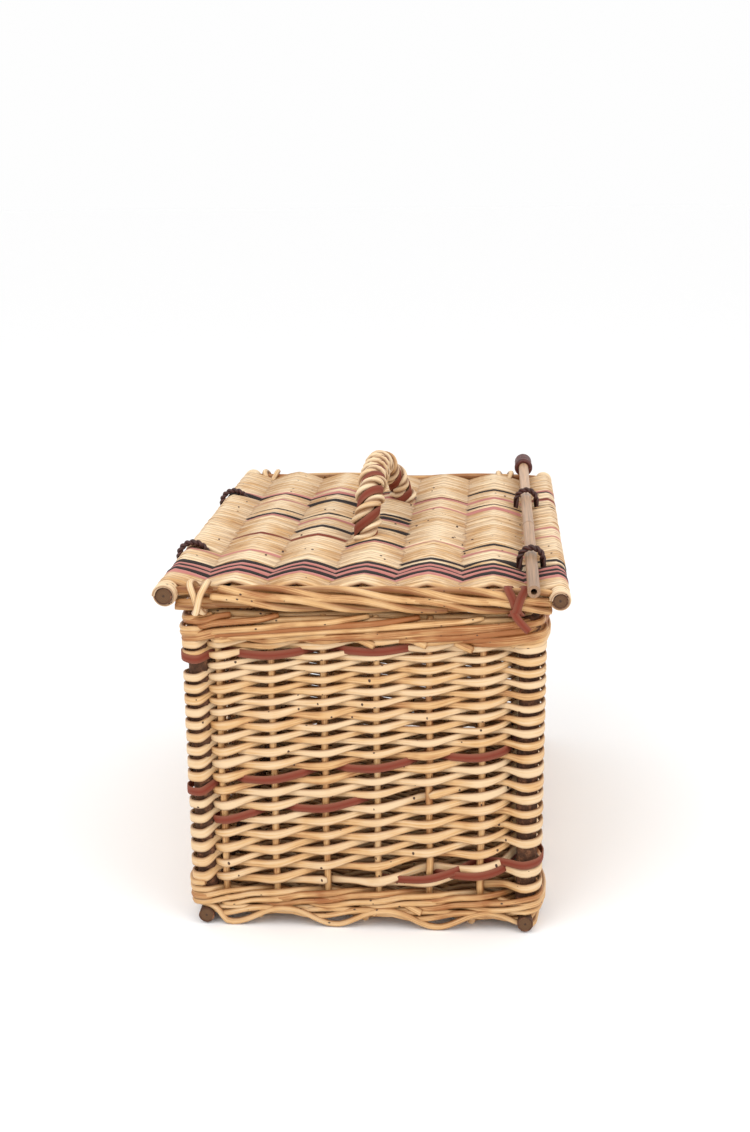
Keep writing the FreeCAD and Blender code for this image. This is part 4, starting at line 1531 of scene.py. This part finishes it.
def loop_line(node, flat_axis):
    """The centre line of a cord loop: an arch over the stick, legs, and a turn under the rim."""
    low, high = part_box(node)
    dia = high[flat_axis] - low[flat_axis]
    wide_axis = 1 - flat_axis
    centre = (low + high) / 2
    radius = (high[wide_axis] - low[wide_axis]) / 2 - dia / 2
    top = high.z - dia / 2 - radius
    foot = low.z + dia / 2 + radius
    points = []
    for angle in np.linspace(-math.pi / 2, 1.5 * math.pi, 60):
        height = (top if math.sin(angle) >= 0 else foot) + radius * math.sin(angle)
        place = [0.0, 0.0, height]
        place[wide_axis] = centre[wide_axis] + radius * math.cos(angle)
        place[flat_axis] = centre[flat_axis]
        points.append(place)
    points = np.array(points)
    ways = points - np.array([centre.x, centre.y, (top + foot) / 2])
    line = smooth_line(np.hstack([points, ways]), 3)
    return line[:, :3], unit(line[:, 3:6])


class HAMPER_OT_loops(bpy.types.Operator):
    """Twist the cord loops that hold the latch stick and the hinge side"""

    bl_idname = "hamper.loops"
    bl_label = "Cord Loops"
    bl_options = {"REGISTER", "UNDO"}

    def execute(self, context):
        rods = context.scene.hamper_rods
        for node in LOOPS:
            low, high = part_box(node)
            flat_axis = 1 if high.y - low.y < high.x - low.x else 0
            line, ways = loop_line(node, flat_axis)
            piece = twisted_loop(f"{node}_cord", line, ways, rods.cord_ply, "loop_cord", 10.0 * MM)
            settle(piece, "basket", "dark_cord", node)
        return {"FINISHED"}


CANE_RADIUS = 5.0 * MM
CANE_HOLLOW = 0.06
CANE_JOINT = 0.209  # from the open end
LACE = 4.4 * MM
LACE_STEPS = 20  # rows in one turn of the lace
CLOSING_STEPS = 36


class HAMPER_OT_latch(bpy.types.Operator):
    """Make the cane latch stick with its joint, its collar and its wound knob"""

    bl_idname = "hamper.latch"
    bl_label = "Latch"
    bl_options = {"REGISTER", "UNDO"}

    def execute(self, context):
        own = context.scene.hamper_finish
        low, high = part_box("latch_stick")
        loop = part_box("latch_loop_front")
        centre_x = (loop[0].x + loop[1].x) / 2
        centre_z = (low.z + high.z) / 2
        self.cane(own, low, high, centre_x, centre_z)
        self.collar(centre_x, centre_z)
        self.knob(centre_x, centre_z)
        return {"FINISHED"}

    def cane(self, own, low, high, centre_x, centre_z):
        """A hollow stick with a ring at its joint, open at the front."""
        deselect_all()
        bpy.ops.mesh.primitive_cylinder_add(
            vertices=32, radius=CANE_RADIUS, depth=high.y - low.y,
            location=(centre_x, (low.y + high.y) / 2, centre_z), rotation=(math.radians(90), 0, 0),
        )
        cane = bpy.context.active_object
        cane.name = "latch_cane"
        bpy.ops.object.transform_apply(location=True, rotation=True, scale=True)
        mesh = cane.data
        self.select(cane, lambda face: face.normal.y < -0.9)
        bpy.ops.mesh.inset(thickness=CANE_RADIUS * 0.5, depth=0.0)
        bpy.ops.mesh.extrude_region_move(TRANSFORM_OT_translate={"value": (0.0, CANE_HOLLOW, 0.0)})
        bpy.ops.object.mode_set(mode="OBJECT")
        joint_y = low.y + CANE_JOINT
        for cut_y in (-3.0, -1.2, 0.0, 1.2, 3.0):
            bpy.ops.object.mode_set(mode="EDIT")
            bpy.ops.mesh.select_all(action="SELECT")
            bpy.ops.mesh.bisect(plane_co=(0, joint_y + cut_y * MM, 0), plane_no=(0, 1, 0))
            bpy.ops.object.mode_set(mode="OBJECT")
        for vertex in mesh.vertices:
            off = abs(vertex.co.y - joint_y) / MM
            swell = 1 + 0.13 * max(0.0, 1 - off / 2.2)
            vertex.co.x = centre_x + (vertex.co.x - centre_x) * swell
            vertex.co.z = centre_z + (vertex.co.z - centre_z) * swell
        mesh.materials.append(dry_cane("dry_bamboo", own.cane[:], joint_y))
        bpy.ops.object.shade_smooth_by_angle(angle=math.radians(40))
        settle(cane, "latch", "bamboo_cane", "latch_stick")

    def select(self, obj, wanted):
        """Selects the faces that pass a test, and leaves the object in edit mode."""
        bpy.ops.object.mode_set(mode="EDIT")
        bpy.ops.mesh.select_mode(type="FACE")
        bpy.ops.mesh.select_all(action="DESELECT")
        bpy.ops.object.mode_set(mode="OBJECT")
        for face in obj.data.polygons:
            face.select = wanted(face)
        bpy.ops.object.mode_set(mode="EDIT")

    def collar(self, centre_x, centre_z):
        """A ring of lace in front of the knob."""
        low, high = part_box("latch_collar")
        reach = (high.x - low.x) / 2 - 2.4 * MM
        strands = Strands(sides=10, squareness=2.2)
        rows = []
        for angle in np.linspace(0, 2 * math.pi, 25):
            way = (math.cos(angle), 0.0, math.sin(angle))
            place = (centre_x + way[0] * reach, (low.y + high.y) / 2, centre_z + way[2] * reach)
            rows.append(row(place, way, high.y - low.y, 5.0 * MM, 0.5))
        strands.add(smooth_line(rows, 2), blunt=1.0)
        settle(strands.make("latch_collar_lace", "knob_lace"), "latch", "wound_knob", "latch_collar")

    def knob(self, centre_x, centre_z):
        """Lace wound in turns over the stick's end, closing to a round tip."""
        low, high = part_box("latch_knob")
        radius = (high.x - low.x) / 2
        straight = high.y - low.y - radius
        strands = Strands(sides=10, squareness=2.2)
        rows = []
        samples = int(straight / (LACE * 0.86) * LACE_STEPS)
        reach = radius - LACE / 2
        for step in range(samples):
            angle = 2 * math.pi * step / LACE_STEPS
            along = low.y + LACE / 2 + (straight - LACE / 2) * step / samples
            way = (math.cos(angle), 0.0, math.sin(angle))
            place = (centre_x + way[0] * reach, along, centre_z + way[2] * reach)
            rows.append(row(place, way, LACE, LACE, 0.5))
        for step in range(1, CLOSING_STEPS + 1):
            angle = 2 * math.pi * (samples - 1 + step) / LACE_STEPS
            tip = step / CLOSING_STEPS * math.pi / 2
            closing = reach * math.cos(tip)
            along = low.y + straight + (radius - LACE * 0.6) * math.sin(tip)
            way = (math.cos(angle) * math.cos(tip), math.sin(tip), math.sin(angle) * math.cos(tip))
            place = (centre_x + math.cos(angle) * closing, along, centre_z + math.sin(angle) * closing)
            rows.append(row(place, way, LACE, LACE, 0.5))
        strands.add(smooth_line(rows, 2))
        core = []
        for along, share in ((low.y + 1 * MM, 0.8), (low.y + straight, 0.8), (high.y - 4 * MM, 0.5)):
            size = 2 * radius * share
            core.append(row((centre_x, along, centre_z), (0, 0, 1), size, size, 0.2))
        strands.add(smooth_line(core, 3))
        settle(strands.make("latch_knob_lace", "knob_lace"), "latch", "wound_knob", "latch_knob")


# ---- stage -----------------------------------------------------------------------------------


# place, target and power of each lamp
LAMPS = {
    "key_light": ((-0.8, -1.3, 1.7), (0.0, 0.0, 0.2), 12.0),
    "fill_light": ((1.3, -1.0, 1.3), (0.0, 0.0, 0.15), 8.0),
}
LAMP_SIZE = 1.2
CAMERA_PLACE = (0.1035, -1.338, 0.619)
CAMERA_TURN = (15.23, -4.70, -0.59)  # degrees down, to the side and round the view
CAMERA_LENS = 47.25


class HAMPER_OT_stage(bpy.types.Operator):
    """Lay the pale floor, and set the studio lights and the camera"""

    bl_idname = "hamper.stage"
    bl_label = "Studio"
    bl_options = {"REGISTER", "UNDO"}

    def execute(self, context):
        own = context.scene.hamper_finish
        deselect_all()
        bpy.ops.mesh.primitive_plane_add(size=40.0, location=(0.0, 0.0, 0.0))
        floor = context.active_object
        floor.name = "studio_floor"
        material, _, shader = new_material("painted_floor")
        shader.inputs["Base Color"].default_value = own.floor[:]
        shader.inputs["Roughness"].default_value = 0.9
        floor.data.materials.append(material)
        world = bpy.data.worlds.new("studio")
        world.use_nodes = True
        background = world.node_tree.nodes["Background"]
        background.inputs["Color"].default_value = (1.0, 1.0, 1.0, 1.0)
        background.inputs["Strength"].default_value = 0.99
        context.scene.world = world
        for name, (place, target, power) in LAMPS.items():
            self.lamp(name, place, target, power)
        self.camera(context)
        context.scene.view_settings.view_transform = "Standard"
        return {"FINISHED"}

    def lamp(self, name, place, target, power):
        """A soft square lamp that faces its target."""
        light = bpy.data.lights.new(name, "AREA")
        light.shape = "SQUARE"
        light.size = LAMP_SIZE
        light.energy = power
        lamp = bpy.data.objects.new(name, light)
        lamp.location = place
        way = Vector(target) - Vector(place)
        lamp.rotation_euler = way.to_track_quat("-Z", "Y").to_euler()
        bpy.context.scene.collection.objects.link(lamp)

    def camera(self, context):
        """The camera, a little above the lid and in front of the short wall."""
        pitch, yaw, roll = (math.radians(angle) for angle in CAMERA_TURN)
        forward = Vector((
            math.sin(yaw) * math.cos(pitch), math.cos(yaw) * math.cos(pitch), -math.sin(pitch),
        ))
        level_right = Vector((math.cos(yaw), -math.sin(yaw), 0.0))
        level_up = level_right.cross(forward)
        right = level_right * math.cos(roll) + level_up * math.sin(roll)
        up = level_up * math.cos(roll) - level_right * math.sin(roll)
        data = bpy.data.cameras.new("studio_camera")
        data.lens = CAMERA_LENS
        data.sensor_width = 36.0
        data.sensor_fit = "AUTO"
        data.clip_end = 60.0
        camera = bpy.data.objects.new("studio_camera", data)
        turn = Matrix((right, up, -forward)).transposed()
        camera.matrix_world = Matrix.Translation(CAMERA_PLACE) @ turn.to_4x4()
        context.scene.collection.objects.link(camera)
        context.scene.camera = camera


# ---- panel and running -----------------------------------------------------------------------

STEPS = (
    HAMPER_OT_side_weave,
    HAMPER_OT_red_strips,
    HAMPER_OT_uprights,
    HAMPER_OT_wales,
    HAMPER_OT_rim_border,
    HAMPER_OT_foot_border,
    HAMPER_OT_base,
    HAMPER_OT_lid_weave,
    HAMPER_OT_lid_borders,
    HAMPER_OT_ties,
    HAMPER_OT_handle,
    HAMPER_OT_loops,
    HAMPER_OT_latch,
    HAMPER_OT_stage,
)


class HAMPER_PT_panel(bpy.types.Panel):
    """Sizes, colours and steps of the hamper"""

    bl_idname = "HAMPER_PT_panel"
    bl_label = "Willow Hamper"
    bl_space_type = "VIEW_3D"
    bl_region_type = "UI"
    bl_category = "Hamper"

    def draw(self, context):
        layout = self.layout
        for group in (context.scene.hamper_rods, context.scene.hamper_finish):
            box = layout.box()
            for name in group.__annotations__:
                box.prop(group, name)
        for step in STEPS:
            layout.operator(step.bl_idname)


CLASSES = (HamperRods, HamperFinish, *STEPS, HAMPER_PT_panel)


def register():
    """Registers the classes, and hangs the sizes and the colours on the scene."""
    for cls in CLASSES:
        bpy.utils.register_class(cls)
    bpy.types.Scene.hamper_rods = bpy.props.PointerProperty(type=HamperRods)
    bpy.types.Scene.hamper_finish = bpy.props.PointerProperty(type=HamperFinish)


def unregister():
    """Takes the sizes, the colours and the classes away again."""
    del bpy.types.Scene.hamper_finish
    del bpy.types.Scene.hamper_rods
    for cls in reversed(CLASSES):
        bpy.utils.unregister_class(cls)


def main():
    """Makes every piece in order."""
    register()
    for step in STEPS:
        group, name = step.bl_idname.split(".")
        getattr(getattr(bpy.ops, group), name)()


if __name__ == "__main__":
    main()
